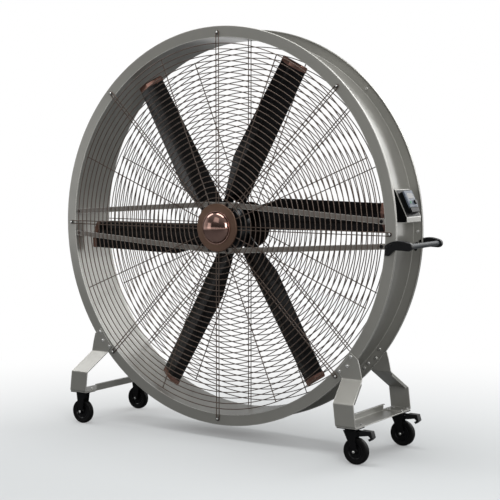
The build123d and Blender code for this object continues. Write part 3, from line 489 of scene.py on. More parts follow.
# %% [markdown]
# ## The drum
# The wall is one long sheet, rolled and welded, and a flange is welded to each end. The solid
# model has the wall and the flanges as plain rings. Here they are turned with many more steps,
# because a glossy wall shows every flat, and the flanges get the narrow lip that stiffens a real
# one: it is the light line round the rim. A weld bead fills the corner between wall and flange.

# %% Drum wall, flanges and weld beads
WALL_STEPS = 288
LIP_DEPTH = 12.0
LIP_FOLD = 3.0
BEAD_R = 2.6

wall_end = FACE_Y - SHEET
wall_profile = [(INNER_R, -wall_end), (SHELL_R, -wall_end), (SHELL_R, wall_end),
                (INNER_R, wall_end)]
turned_piece("drum_wall", wall_profile, drum_enamel, "drum_paint", ["drum_shell"],
             steps=WALL_STEPS, closed=True)

fold = [(FLANGE_R - LIP_FOLD * (1 - cos(radians(a))), -FACE_Y + LIP_FOLD * (1 - sin(radians(a))))
        for a in (90, 60, 30, 0)]
flange_profile = [(INNER_R, -FACE_Y + SHEET), (INNER_R, -FACE_Y)] + fold
flange_profile += [(FLANGE_R, -FACE_Y + LIP_DEPTH), (FLANGE_R - SHEET, -FACE_Y + LIP_DEPTH),
                   (FLANGE_R - SHEET, -FACE_Y + SHEET)]
for name, side in zip(("front_flange", "rear_flange"), FRONT_REAR):
    turned_piece(f"{name}_with_lip", flange_profile, drum_enamel, "drum_paint", [name],
                 steps=WALL_STEPS, closed=True, place=side)

bm = bmesh.new()
for side in FRONT_REAR:
    bead = [(SHELL_R + BEAD_R * (cos(a) - 0.3), -wall_end + BEAD_R * (sin(a) + 0.3))
            for a in (radians(45 * k) for k in range(8))]
    turned(bm, bead, steps=WALL_STEPS, closed=True, place=side)
piece("flange_weld_beads", bm, drum_enamel)
print(f"lip {LIP_DEPTH:.0f} mm deep, {WALL_STEPS} steps round the wall")

# %% [markdown]
# ## The wire guards
# Each guard has 28 round rings, welded in front of radial wires: eight hairpins, which are pairs
# bent from one length and looped round a flange bolt, and eight single wires between them. The
# solid model holds one ring in nine. The wires are drawn 5 mm thick, where the solids have
# 4 mm, because thinner ones look too faint beside the photograph. A bevelled curve is the
# natural tool for wire: one line of points, and one number for the wire's radius. All the wire
# of a guard is one curve object.

# %% Guard wires
WIRE_R = 2.5
RING_COUNT = 28
OUTER_RING_R = INNER_R - 30.0
INNER_RING_R = box_mm("front_centre_disc")[1].x + 27.55
BOLT_CIRCLE_R = FLANGE_R - 31.0
PAIR_HALF = 8.0
WIRE_START = box_mm("front_centre_disc")[1].x - 8.0
RADIAL_Y = -FACE_Y - WIRE_R
RING_Y = RADIAL_Y - 2 * WIRE_R
BOLT_COUNT = 8


def lay_wire(curve, points, cyclic=False):
    line = curve.splines.new("POLY")
    line.points.add(len(points) - 1)
    for knot, point in zip(line.points, points):
        knot.co = (*(TO_WORLD @ point), 1)
    line.use_cyclic_u = cyclic


def guard(name, side, node):
    curve = bpy.data.curves.new(name, "CURVE")
    curve.dimensions = "3D"
    curve.bevel_depth = WIRE_R * MM
    curve.bevel_resolution = 1
    curve.use_fill_caps = True
    for index in range(RING_COUNT):
        radius = OUTER_RING_R - index * (OUTER_RING_R - INNER_RING_R) / (RING_COUNT - 1)
        steps = 96 if radius < OUTER_RING_R / 2 else 192
        angles = [2 * pi * k / steps for k in range(steps)]
        circle = [Vector((radius * cos(a), RING_Y, radius * sin(a))) for a in angles]
        lay_wire(curve, [side @ point for point in circle], cyclic=True)
    loop = [Vector((BOLT_CIRCLE_R + PAIR_HALF * cos(a), RADIAL_Y, PAIR_HALF * sin(a)))
            for a in (radians(-90 + 22.5 * k) for k in range(9))]
    hairpin = [Vector((WIRE_START, RADIAL_Y, -PAIR_HALF)), *loop,
               Vector((WIRE_START, RADIAL_Y, PAIR_HALF))]
    single = [Vector((WIRE_START, RADIAL_Y, 0)), Vector((OUTER_RING_R + WIRE_R, RADIAL_Y, 0))]
    for index in range(BOLT_COUNT):
        turn = side @ about_axis(index * 360 / BOLT_COUNT)
        lay_wire(curve, [turn @ point for point in hairpin])
        turn = side @ about_axis((index + 0.5) * 360 / BOLT_COUNT)
        lay_wire(curve, [turn @ point for point in single])
    wires = bpy.data.objects.new(name, curve)
    bpy.context.scene.collection.objects.link(wires)
    curve.materials.append(wire_lacquer)
    settle(wires, "fan_frame", [node])
    return len(curve.splines)


for side, end in zip(FRONT_REAR, ("front", "rear")):
    count = guard(f"{end}_guard_wires", side, f"{end}_guard")
    print(end, "guard:", count, "wires")

# %% [markdown]
# ## Cover discs and the dome
# A spun disc hides the middle of each guard, where the wires end. The front one carries the
# polished dome. Both are turned from a profile; the dome's is half an ellipse, much flatter than
# a ball, and it sits in a narrow raised ring.

# %% Discs and dome
disc_low, disc_high = box_mm("front_centre_disc")
DISC_R = disc_high.x
DISC_FRONT, DISC_BACK = disc_low.y, disc_high.y
RIM_ROUND = 3.0
disc_profile = [(0, DISC_FRONT), (DISC_R - 3 * RIM_ROUND, DISC_FRONT)]
disc_profile += [(DISC_R - 2.4 * RIM_ROUND, DISC_FRONT + 1.2),
                 (DISC_R - 1.6 * RIM_ROUND, DISC_FRONT + 1.2)]
disc_profile += [(DISC_R - RIM_ROUND * (1 - sin(radians(a))),
                  DISC_FRONT + RIM_ROUND * (1 - cos(radians(a)))) for a in (0, 30, 60, 90)]
disc_profile += [(DISC_R, DISC_BACK), (0, DISC_BACK)]
# The rear disc takes the darker copy: painted shade.
for side, end, finish in zip(FRONT_REAR, ("front", "rear"), (disc_bronze, disc_painted_shade)):
    turned_piece(f"{end}_spun_disc", disc_profile, finish, "brown_disc", [f"{end}_centre_disc"],
                 steps=128, place=side)

dome_low, dome_high = box_mm("centre_dome")
DOME_R = dome_high.x
DOME_HEIGHT = DISC_FRONT - dome_low.y
RING_WIDTH = 3.5
dome_profile = [(0, DISC_FRONT + 1), (DOME_R, DISC_FRONT + 1), (DOME_R, DISC_FRONT - 3),
                (DOME_R - 1, DISC_FRONT - 4.5), (DOME_R - RING_WIDTH, DISC_FRONT - 4.5),
                (DOME_R - RING_WIDTH - 0.6, DISC_FRONT - 3)]
for step in range(1, 25):
    angle = radians(90 * step / 24)
    bulge = (DOME_R - RING_WIDTH - 1) * cos(angle)
    dome_profile.append((bulge if step < 24 else 0,
                         DISC_FRONT - 3 - (DOME_HEIGHT - 3) * sin(angle)))
turned_piece("polished_dome", dome_profile, dome_copper, "copper", ["centre_dome"], steps=128)
print(f"disc radius {DISC_R:.0f} mm, dome {DOME_HEIGHT:.0f} mm high")

# %% Guard bolts and their nuts
GUARD_HEAD_R, GUARD_HEAD_HEIGHT = 4.6, 4.1
GUARD_NUT_R = 6.4
CLAMP_R, CLAMP_HOLE, CLAMP_THICK = 8.6, 3.0, 2.0
clamps, heads, nuts = bmesh.new(), bmesh.new(), bmesh.new()
for side in FRONT_REAR:
    for index in range(BOLT_COUNT):
        turn = side @ about_axis(index * 360 / BOLT_COUNT)
        seat = -FACE_Y - 2 * WIRE_R
        clamp = [(CLAMP_HOLE, seat), (CLAMP_R, seat), (CLAMP_R, seat - 1.2),
                 (CLAMP_R - 0.8, seat - CLAMP_THICK), (CLAMP_HOLE, seat - CLAMP_THICK)]
        turned(clamps, clamp, (BOLT_CIRCLE_R, 0, 0), steps=32, closed=True, place=turn)
        round_head(heads, (BOLT_CIRCLE_R, seat - CLAMP_THICK + 0.1, 0), GUARD_HEAD_R,
                   GUARD_HEAD_HEIGHT, -1, turn)
        hex_head(nuts, (BOLT_CIRCLE_R, -FACE_Y + SHEET, 0), GUARD_NUT_R, 7.0, 1, place=turn)
piece("guard_clamp_washers", clamps, blacked_steel, ["guard_bolts"])
piece("guard_bolt_heads", heads, zinc_plate)
piece("guard_bolt_nuts", nuts, zinc_plate)

# %% [markdown]
# ## Cross bars and motor
# Two flat bars span the drum behind the front guard and carry the motor. They are cranked at the
# knees, so that they part round the hub. The solids already have that shape; each sharp edge
# only needs breaking, because a bar cut from flat stock never has a razor edge. Their bolts are
# drawn afresh, with washers.

# %% Bars, brackets, plate and motor
for node, edge_mm, finish in (
        ("upper_cross_bar", 1.0, bar_enamel), ("lower_cross_bar", 1.0, bar_enamel),
        ("bar_end_brackets", 1.0, fork_coat), ("motor_plate", 1.2, cast_aluminium),
        ("motor_axle", 1.5, turned_steel), ("motor_stator", 0.6, core_steel),
        ("hub_nut", 1.5, zinc_plate), ("blade_arms", 1.5, blade_black)):
    soften(node, edge_mm, finish)

bar_low, bar_high = box_mm("upper_cross_bar")
BAR_HALF = 13.5
BAR_FRONT = bar_low.y
bar_ends = (INNER_R - 22.0, bar_low.z + BAR_HALF)
bar_knees = (55.0, bar_high.z - BAR_HALF)
bm = bmesh.new()
for x, z in (bar_ends, bar_knees):
    for side in (1, -1):
        for height in (1, -1):
            round_head(bm, (side * x, BAR_FRONT, height * z), 7.0, 3.0, -1)
piece("bar_bolt_heads", bm, blacked_steel, ["bar_bolts"])

rotor_low, rotor_high = box_mm("rotor_shell")
ROTOR_R = rotor_high.x
ROTOR_FRONT, ROTOR_BACK = rotor_low.y, rotor_high.y
BORE_R = 20.5
CUP_R = 98.0
CUP_FLOOR = ROTOR_BACK - 35.0
rotor_profile = [
    (CUP_R, ROTOR_FRONT), (ROTOR_R - 4, ROTOR_FRONT), (ROTOR_R, ROTOR_FRONT + 4),
    (ROTOR_R, ROTOR_FRONT + 20), (ROTOR_R - 3, ROTOR_FRONT + 22),
    (ROTOR_R - 3, ROTOR_FRONT + 40), (ROTOR_R, ROTOR_FRONT + 42),
    (ROTOR_R, ROTOR_BACK - 8), (ROTOR_R - 8, ROTOR_BACK), (46, ROTOR_BACK),
    (42, ROTOR_BACK - 4), (BORE_R, ROTOR_BACK - 4), (BORE_R, CUP_FLOOR), (CUP_R, CUP_FLOOR),
]
turned_piece("cast_rotor_shell", rotor_profile, cast_aluminium, "motor_casting", ["rotor_shell"],
             "rotor", steps=128, closed=True)

bm = bmesh.new()
ROTOR_BOLT_CIRCLE_R = 84.0
for index in range(12):
    hex_head(bm, (ROTOR_BOLT_CIRCLE_R, ROTOR_BACK, 0), 6.5, 6.0, 1,
             place=about_axis(15 + index * 30))
piece("rotor_shell_bolts", bm, zinc_plate, body="rotor")

# %% [markdown]
# ## Blades
# Each blade is a hollow aluminium aerofoil: flat behind, with a crease that runs straight along it
# a little in front of the blade line. Between the crease and the leading edge the face is flat,
# and it takes the light as one long strip, which the photograph shows on the blades at the upper
# left. Behind the crease the face curves down to a thin trailing edge. The section is worked out
# at a few places along the blade and the sections are joined. It tapers in chord and in
# thickness, like the solid, and the leading edge is cut back near the hub.

# %% The blade's section and its place
BLADE_ROOT = 132.0
BLADE_TIP = INNER_R - 44.0
CAP_LENGTH = 28.0
ROOT_CHORD, TIP_CHORD = 170.5, 137.0
ROOT_THICK, TIP_THICK = 26.6, 19.0
TRIM_END = BLADE_ROOT + 196.0
TRIM_EDGE = 30.0
REAR_DEPTH = 10.0
CREASE = 20.0
FACET_SLOPE = 0.3
NOSE_R = 4.0
TRAILING_EDGE = 3.0
FACE_CURVE = 1.6
REAR_POINTS, FRONT_POINTS = 4, 9
BLADE_PITCH = 12.8
BLADE_OFFSET = 70.0
BLADE_Y = ROTOR_BACK - 20.0
BLADE_COUNT = 6

lean = radians(BLADE_PITCH)
BLADE_FRAME = Matrix((
    (1, 0, 0, 0),
    (0, -sin(lean), -cos(lean), BLADE_Y),
    (0, cos(lean), -sin(lean), BLADE_OFFSET),
    (0, 0, 0, 1),
))


def half_chord(span):
    share = (span - BLADE_ROOT) / (BLADE_TIP - BLADE_ROOT)
    return (ROOT_CHORD + (TIP_CHORD - ROOT_CHORD) * share) / 2


def leading_edge(span):
    """Blade line to the leading edge, which is cut back between the root and TRIM_END."""
    if span >= TRIM_END:
        return half_chord(span)
    share = (span - BLADE_ROOT) / (TRIM_END - BLADE_ROOT)
    return TRIM_EDGE + (half_chord(TRIM_END) - TRIM_EDGE) * share


def blade_section(span, grow=0.0):
    """Outline at one place along the blade, as (chordwise, thickness) points."""
    trailing, leading = -half_chord(span), leading_edge(span)
    share = (span - BLADE_ROOT) / (BLADE_TIP - BLADE_ROOT)
    rear = -REAR_DEPTH
    crest = rear + ROOT_THICK + (TIP_THICK - ROOT_THICK) * share
    nose_height = crest - FACET_SLOPE * (leading - CREASE)
    points = [(trailing + (leading - NOSE_R - trailing) * step / REAR_POINTS, rear)
              for step in range(REAR_POINTS + 1)]
    middle, tall = (nose_height + rear) / 2, (nose_height - rear) / 2
    points += [(leading - NOSE_R + NOSE_R * cos(a), middle + tall * sin(a))
               for a in (radians(30 * k) for k in range(-2, 3))]
    points += [(leading - NOSE_R, nose_height), (CREASE, crest)]
    for step in [0.2, *range(1, FRONT_POINTS + 1)]:
        back = (CREASE - trailing) * step / FRONT_POINTS
        drop = (crest - rear - TRAILING_EDGE) * (step / FRONT_POINTS) ** FACE_CURVE
        points.append((CREASE - back, crest - drop))
    middle = (rear + crest) / 2
    return [(u + (grow if u > 0 else -grow), w + (grow if w > middle else -grow))
            for u, w in points]


def loft(bm, sections, place):
    """Joins (span, outline) sections into one closed body."""
    skin(bm, [[(span, u, w) for u, w in outline] for span, outline in sections], place=place)


# %% Six blades
def shrunk(outline, amount):
    """The same outline, pulled in towards its middle by about that much."""
    columns = []
    for column in zip(*outline):
        middle = sum(column) / len(column)
        squeeze = 1 - amount / (max(column) - middle)
        columns.append([middle + (value - middle) * squeeze for value in column])
    return list(zip(*columns))


blade_end = BLADE_TIP - CAP_LENGTH
blade_places = [about_axis(index * 360 / BLADE_COUNT) @ BLADE_FRAME
                for index in range(BLADE_COUNT)]
spans = [BLADE_ROOT + 0.8, (BLADE_ROOT + TRIM_END) / 2, TRIM_END]
spans += [TRIM_END + (blade_end - TRIM_END) * k / 4 for k in range(1, 5)]
sections = [(BLADE_ROOT, shrunk(blade_section(BLADE_ROOT), 0.8))]
sections += [(span, blade_section(span)) for span in spans]
for number, place in enumerate(blade_places, 1):
    bm = bmesh.new()
    loft(bm, sections, place)
    piece(f"aerofoil_{number}", bm, blade_black, [f"blade_{number}"], "rotor")
print(f"{BLADE_COUNT} blades, chord {ROOT_CHORD:.0f} to {TIP_CHORD:.0f} mm")

# %% [markdown]
# ## Tip caps and rivets
# A copper-coloured cap closes the end of each blade. It stands 1.8 mm proud all round, and its
# outer end is rounded off, so the last few sections shrink along a quarter circle. The arm is
# hidden inside the blade's root, where flush black rivets hold it from behind.

# %% Caps and rivets
CAP_PROUD = 1.8
CAP_ROUND = 7.0
sections = [(blade_end - 1, shrunk(blade_section(blade_end, CAP_PROUD), 0.8)),
            (blade_end, blade_section(blade_end, CAP_PROUD))]
for step in range(7):
    angle = radians(15 * step)
    span = BLADE_TIP - CAP_ROUND * (1 - sin(angle))
    sections.append((span, shrunk(blade_section(span, CAP_PROUD), CAP_ROUND * (1 - cos(angle)))))
bm = bmesh.new()
for place in blade_places:
    loft(bm, sections, place)
piece("copper_tip_caps", bm, cap_copper, ["blade_tip_caps"], "rotor")

RIVET_PROFILE = [(0, 0.5), (5.5, 0.5), (5.0, -0.9), (3.0, -1.8), (0, -2.0)]
rivet = [(radius, rise - REAR_DEPTH) for radius, rise in RIVET_PROFILE]
bm = bmesh.new()
for place in blade_places:
    for span in (BLADE_ROOT + 22.0, BLADE_ROOT + 62.0):
        for across in (-16.0, 10.0):
            turned(bm, rivet, (span, across, 0), "Z", 20, place=place)
piece("blade_root_rivets", bm, blacked_steel, body="rotor")

# %% [markdown]
# ## Legs
# Each leg is one strip of 5 mm sheet. A tab under the flange's rim takes three bolts, then the
# strip bends forwards and outwards, bends back to the vertical at the knee, and ends in a foot
# under which the rail and the caster are bolted. The folds are rounded with a 9 mm radius. A return
# along the outer edge of the slanted panel keeps it stiff; it is welded on.

# %% One leg, mirrored four times
LEG_SHEET = 5.0
LEG_WIDTH = 108.0
LEG_FOLD = 9.0
TAB_ANGLE = 39.85
TAB_SPREAD = 6.9
TAB_LOW_R, TAB_HIGH_R = INNER_R + 10.0, FLANGE_R + 2.0
FOOT_LENGTH = 90.0
RETURN_DEPTH = 16.0
RETURN_MARGIN = 10.0
leg_low, leg_high = box_mm("front_right_leg")
LEG_REACH = -leg_low.y
LEG_BOTTOM = leg_low.z
FOOT_X = leg_high.x - LEG_WIDTH / 2
KNEE_X = FOOT_X - 13.0
KNEE_Z = LEG_BOTTOM + 108.0
BEND_X = KNEE_X - 28.0
BEND_Z = -(TAB_LOW_R + TAB_HIGH_R - 12.0) / 2 * sin(radians(TAB_ANGLE)) - 67.2


def polar(radius, degrees_up):
    return radius * cos(radians(degrees_up)), radius * sin(radians(degrees_up))


half_tab = TAB_SPREAD / 2
peak = polar(TAB_LOW_R, half_tab - TAB_ANGLE)
inner_edge = [peak, polar(TAB_LOW_R, -half_tab - TAB_ANGLE), (BEND_X - LEG_WIDTH / 2, BEND_Z),
              (KNEE_X - LEG_WIDTH / 2, KNEE_Z), (FOOT_X - LEG_WIDTH / 2, LEG_BOTTOM)]
outer_edge = [peak, polar(TAB_HIGH_R, half_tab - TAB_ANGLE),
              (BEND_X + LEG_WIDTH / 2 - 13.0, BEND_Z + 60.0), (BEND_X + LEG_WIDTH / 2, BEND_Z),
              (KNEE_X + LEG_WIDTH / 2, KNEE_Z), (FOOT_X + LEG_WIDTH / 2, LEG_BOTTOM)]


def edge_at(edge, height):
    """Where an edge of the leg, given from the top down, crosses that height."""
    for (x_high, high), (x_low, low) in zip(edge, edge[1:]):
        if low <= height <= high:
            return x_low + (x_high - x_low) * (height - low) / (high - low)
    return edge[-1][0]


tab_face = -FACE_Y - LEG_SHEET
heights = sorted({z for x, z in inner_edge + outer_edge}, reverse=True)
leg_path = []
for height in heights:
    depth = tab_face if height >= BEND_Z else -LEG_REACH
    left, right = edge_at(inner_edge, height), edge_at(outer_edge, height)
    if height == heights[0]:
        left, right = left - 2.0, right + 2.0
    leg_path.append((depth, height, left, right))
leg_path.append((FOOT_LENGTH - LEG_REACH, LEG_BOTTOM, *leg_path[-1][2:]))


def return_strip(bm, place):
    """The welded return behind the slanted panel's outer edge."""
    down = Vector((KNEE_X - BEND_X, -LEG_REACH - tab_face, KNEE_Z - BEND_Z))
    margin = down * (RETURN_MARGIN / abs(KNEE_Z - BEND_Z))
    behind = Vector((0, down.z, -down.y)).normalized() * -1
    first = Vector((BEND_X + LEG_WIDTH / 2, tab_face, BEND_Z)) + margin
    last = Vector((KNEE_X + LEG_WIDTH / 2, -LEG_REACH, KNEE_Z)) - margin
    wide = Vector((-LEG_SHEET, 0, 0))
    deep = behind * (RETURN_DEPTH - LEG_SHEET)
    corners = [end + behind * (LEG_SHEET - 1) for end in (first, last)]
    skin(bm, [[c, c + wide, c + wide + deep, c + deep] for c in corners], 0.8, place)


for side, name in zip(SIDES, ("front_right", "rear_right", "front_left", "rear_left")):
    bm = bmesh.new()
    bent_sheet(bm, leg_path, LEG_SHEET, LEG_FOLD, "X", edge=0.8, place=side)
    return_strip(bm, side)
    piece(f"{name}_bent_leg", bm, drum_enamel, [f"{name}_leg"])
print(f"legs bend at {BEND_Z:.0f} and {KNEE_Z:.0f} mm, feet {LEG_REACH:.0f} mm from the middle")

# %% [markdown]
# ## Rails and leg fasteners
# A channel joins the two feet of each side. Three hexagon bolts hold each tab to the flange, with
# nuts behind it, and four hold each foot to its rail and caster.

# %% Rails, bolts and nuts
for node in ("left_rail", "right_rail"):
    soften(node, 1.2, drum_enamel)

BOLT_R = 6.8
LEG_BOLTS = ((2.65, 35.0), (-0.15, 21.0), (-3.05, 34.0))
LEG_NUT_HEIGHT, LEG_HEAD_HEIGHT = 8.5, 7.0
CASTER_HOLES = [(across, ahead) for across in (-38.0, 38.0) for ahead in (-30.0, 30.0)]
CASTER_X = FOOT_X + 3.0
CASTER_Y = LEG_REACH - FOOT_LENGTH / 2 - 1.0
bm = bmesh.new()
for side in SIDES:
    for angle, inset in LEG_BOLTS:
        x, z = polar(FLANGE_R - inset, angle - TAB_ANGLE)
        hex_head(bm, (x, tab_face, z), BOLT_R, LEG_HEAD_HEIGHT, -1, place=side)
        hex_head(bm, (x, -FACE_Y + SHEET, z), BOLT_R, LEG_NUT_HEIGHT, 1, place=side)
piece("leg_hex_bolts", bm, zinc_plate, ["leg_bolts"])

bm = bmesh.new()
for side in SIDES:
    for across, ahead in CASTER_HOLES:
        spot = (CASTER_X + across, -CASTER_Y + ahead, LEG_BOTTOM + LEG_SHEET)
        hex_head(bm, spot, BOLT_R, LEG_HEAD_HEIGHT, 1, "Z", side)
piece("caster_hex_bolts", bm, zinc_plate, ["caster_bolts"])

# %% [markdown]
# ## Casters
# The two left casters are rigid, the two right ones swivel and have a brake pedal. Forks, plates
# and pedals are pressings whose shape the solids already have. The wheels are turned afresh: a
# rubber tyre with rounded shoulders on a nylon centre that is dished between rim and hub. The
# tyre and its centre ride on the wheel's body, and the axle caps on the fork's.

# %% Wheels
TYRE_SEAT_R = 42.0
FORK_GAP, FORK_SHEET = 2.5, 4.0
casters = {
    "front_left": ("rigid_fork", "fan_frame"),
    "rear_left": ("rigid_fork", "fan_frame"),
    "front_right": ("swivel_fork", "front_right_caster"),
    "rear_right": ("swivel_fork", "rear_right_caster"),
}
for corner, (fork, fork_body) in casters.items():
    wheel_low, wheel_high = box_mm(f"{corner}_wheel")
    middle = (wheel_low + wheel_high) / 2
    tread_r = (wheel_high.z - wheel_low.z) / 2
    half = (wheel_high.y - wheel_low.y) / 2
    shoulder = [(TYRE_SEAT_R, half - 3.5), (tread_r - 8, half - 0.4), (tread_r - 4.5, half - 1.0),
                (tread_r - 1.8, half - 3.2), (tread_r - 0.5, half - 6.5), (tread_r, half - 11)]
    tyre_profile = shoulder + [(r, -y) for r, y in reversed(shoulder)]
    turned_piece(f"{corner}_tyre", tyre_profile, tyre_rubber, "wheel_rubber", [f"{corner}_wheel"],
                 f"{corner}_wheel_body", centre=middle, closed=True)
    face = [(6.3, half), (13, half), (14.5, half - 1.5), (16, half - 7), (33, half - 8),
            (37, half - 3.5), (TYRE_SEAT_R + 0.4, half - 3.2)]
    centre_profile = face + [(r, -y) for r, y in reversed(face)]
    turned_piece(f"{corner}_wheel_centre", centre_profile, wheel_nylon, "black_plastic", (),
                 f"{corner}_wheel_body", centre=middle, steps=72, closed=True)
    bm = bmesh.new()
    for toward in (-1, 1):
        seat = middle.y + toward * (half + FORK_GAP + FORK_SHEET)
        round_head(bm, (middle.x, seat + toward * 6.0, middle.z), 5.2, 4.0, toward)
    piece(f"{corner}_axle_caps", bm, zinc_plate, body=fork_body)
    soften(f"{corner}_{fork}", 1.2, fork_coat)
for corner in ("front_right", "rear_right"):
    soften(f"{corner}_swivel_plate", 1.2, fork_coat)
    soften(f"{corner}_brake_pedal", 1.5, black_nylon)

# %% [markdown]
# ## Push handle
# A round tube runs between two moulded brackets. Each bracket has a flat foot on the flange, an
# arched arm and a round end with a socket for the tube. The outline is an arch drawn through
# three points, as on a drawing board, pushed through the thickness, with edges rounded by 5 mm.

# %% Handle tube and brackets
def arc_through(start, middle, end, steps=8):
    """Points on the circle through three points, from the first to the last."""
    (ax, ay), (bx, by), (cx, cy) = start, middle, end
    d = 2 * (ax * (by - cy) + bx * (cy - ay) + cx * (ay - by))
    a, b, c = ax**2 + ay**2, bx**2 + by**2, cx**2 + cy**2
    ux = (a * (by - cy) + b * (cy - ay) + c * (ay - by)) / d
    uy = (a * (cx - bx) + b * (ax - cx) + c * (bx - ax)) / d
    radius = hypot(ax - ux, ay - uy)
    first = atan2(ay - uy, ax - ux)
    half_sweep = (atan2(by - uy, bx - ux) - first + pi) % (2 * pi) - pi
    whole = (atan2(cy - uy, cx - ux) - first) % (2 * pi)
    sweep = whole if half_sweep > 0 else whole - 2 * pi
    return [(ux + radius * cos(angle), uy + radius * sin(angle))
            for angle in (first + sweep * k / steps for k in range(steps + 1))]


tube_low, tube_high = box_mm("handle_tube")
bracket_low, bracket_high = box_mm("front_handle_bracket")
TUBE_R = (tube_high.z - tube_low.z) / 2
TUBE_X = (tube_low.x + tube_high.x) / 2
TUBE_Z = (tube_low.z + tube_high.z) / 2
tube_profile = [(0, tube_low.y), (TUBE_R, tube_low.y), (TUBE_R, tube_high.y), (0, tube_high.y)]
turned_piece("push_tube", tube_profile, tube_coat, "grey_tube", ["handle_tube"],
             centre=(TUBE_X, 0, TUBE_Z), steps=64)

saddle_x, saddle_z = bracket_low.x, bracket_low.z
END_R = bracket_high.x - TUBE_X
outline = [(saddle_x, saddle_z)]
outline += arc_through((saddle_x, TUBE_Z + 3), (saddle_x + 60, TUBE_Z + 26),
                       (TUBE_X, TUBE_Z + END_R))
outline += arc_through((TUBE_X, TUBE_Z + END_R), (bracket_high.x, TUBE_Z),
                       (TUBE_X, TUBE_Z - END_R), 12)[1:]
outline += [(saddle_x + 54, TUBE_Z - 18), (saddle_x + 40, TUBE_Z - 24), (saddle_x + 20, saddle_z)]
SCREWS = ((32.0, 7.0), (13.0, -5.0), (8.0, -33.0))
for side, end in zip(FRONT_REAR, ("front", "rear")):
    bm = bmesh.new()
    slab(bm, outline, bracket_low.y, bracket_high.y, edge=5.0, place=side)
    piece(f"{end}_moulded_bracket", bm, black_nylon,
          [f"{end}_handle_bracket"])
bm = bmesh.new()
for side in FRONT_REAR:
    for x, z in SCREWS:
        round_head(bm, (saddle_x + x, bracket_low.y, TUBE_Z + z), 4.5, 3.0, -1, side)
        hex_head(bm, (saddle_x + x, -FACE_Y + SHEET, TUBE_Z + z), 5.5, 6.5, 1, place=side)
piece("handle_screw_heads", bm, blacked_steel, ["handle_screws"])

# %% [markdown]
# ## Control housing
# A wedge of folded sheet stands on the outside of the drum. Its grey cover runs from the wall
# down the slanted face, round the nose and back under the shelf. The two cheeks are black and
# follow the curve of the drum. The speed controller sits on the slanted face.

# %% Housing cover and cheeks
housing_low, housing_high = box_mm("control_housing")
HOUSING_HALF = housing_high.y
TOP_Z, BOTTOM_Z = housing_high.z, housing_low.z
NOSE_X = housing_high.x
SHELF_Z = BOTTOM_Z + 24.0
TOP_X = INNER_R + 12.0
wall_at = [sqrt(SHELL_R**2 - z**2) for z in (BOTTOM_Z, TOP_Z)]
cover_path = [(wall_at[0] - 1, BOTTOM_Z), (NOSE_X, BOTTOM_Z), (NOSE_X, SHELF_Z), (TOP_X, TOP_Z),
              (wall_at[1] - 1, TOP_Z)]
bm = bmesh.new()
bent_sheet(bm, [(*point, -HOUSING_HALF, HOUSING_HALF) for point in cover_path], SHEET, 4.0, "Y")
piece("housing_cover_sheet", bm, drum_enamel, ["control_housing"])

bm = bmesh.new()
cheek = [(NOSE_X - 2, BOTTOM_Z + 2), (NOSE_X - 2, SHELF_Z - 1), (TOP_X - 1, TOP_Z - 2)]
cheek += [(sqrt(SHELL_R**2 - z**2), z)
          for z in (TOP_Z - 2 - (TOP_Z - BOTTOM_Z - 4) * k / 10 for k in range(11))]
for low in (-HOUSING_HALF + 1.5, HOUSING_HALF - 4.5):
    slab(bm, cheek, low, low + 3.0, edge=0.5)
piece("housing_cheeks", bm, fork_coat)

# %% [markdown]
# ## Speed controller
# Everything on the slanted face is drawn in that face's own axes: across, up the slope, and out
# from it. The controller sits on a black plate that leaves a thin grey edge of the housing in
# view. It has a black base, a blue-grey cover with a blank dark window, a black terminal cover,
# a knob and a square key. The solids of the knob and the key stay, because they move.

# %% The slanted face and the controller's parts
run, fall = NOSE_X - TOP_X, TOP_Z - SHELF_Z
slope_length = hypot(run, fall)
SLANT = Matrix((
    (0, -run / slope_length, fall / slope_length, TOP_X),
    (1, 0, 0, 0),
    (0, fall / slope_length, run / slope_length, TOP_Z),
    (0, 0, 0, 1),
))
DRIVE_WIDTH, DRIVE_LENGTH, COVER_LENGTH = 85.0, 108.0, 84.0
DRIVE_TOP, DRIVE_BASE, DRIVE_COVER = 18.0, 15.0, 9.0


def rounded_box(across, top, bottom, corner):
    """Outline of a plate on the slanted face, with rounded corners."""
    half = across / 2
    points = []
    left, right, high, low = corner - half, half - corner, -top - corner, corner - bottom
    for x, y, turn in ((right, high, 0), (left, high, 90), (left, low, 180), (right, low, 270)):
        for step in range(5):
            angle = radians(turn + 22.5 * step)
            points.append((x + corner * cos(angle), y + corner * sin(angle)))
    return points


cover_end = DRIVE_TOP + COVER_LENGTH
drive_end = DRIVE_TOP + DRIVE_LENGTH
COVER_FACE = DRIVE_BASE + DRIVE_COVER
COVER_WIDTH, LID_WIDTH = DRIVE_WIDTH - 9, DRIVE_WIDTH - 5
PLATE_WIDTH, WINDOW_WIDTH = 2 * HOUSING_HALF - 8, DRIVE_WIDTH - 31
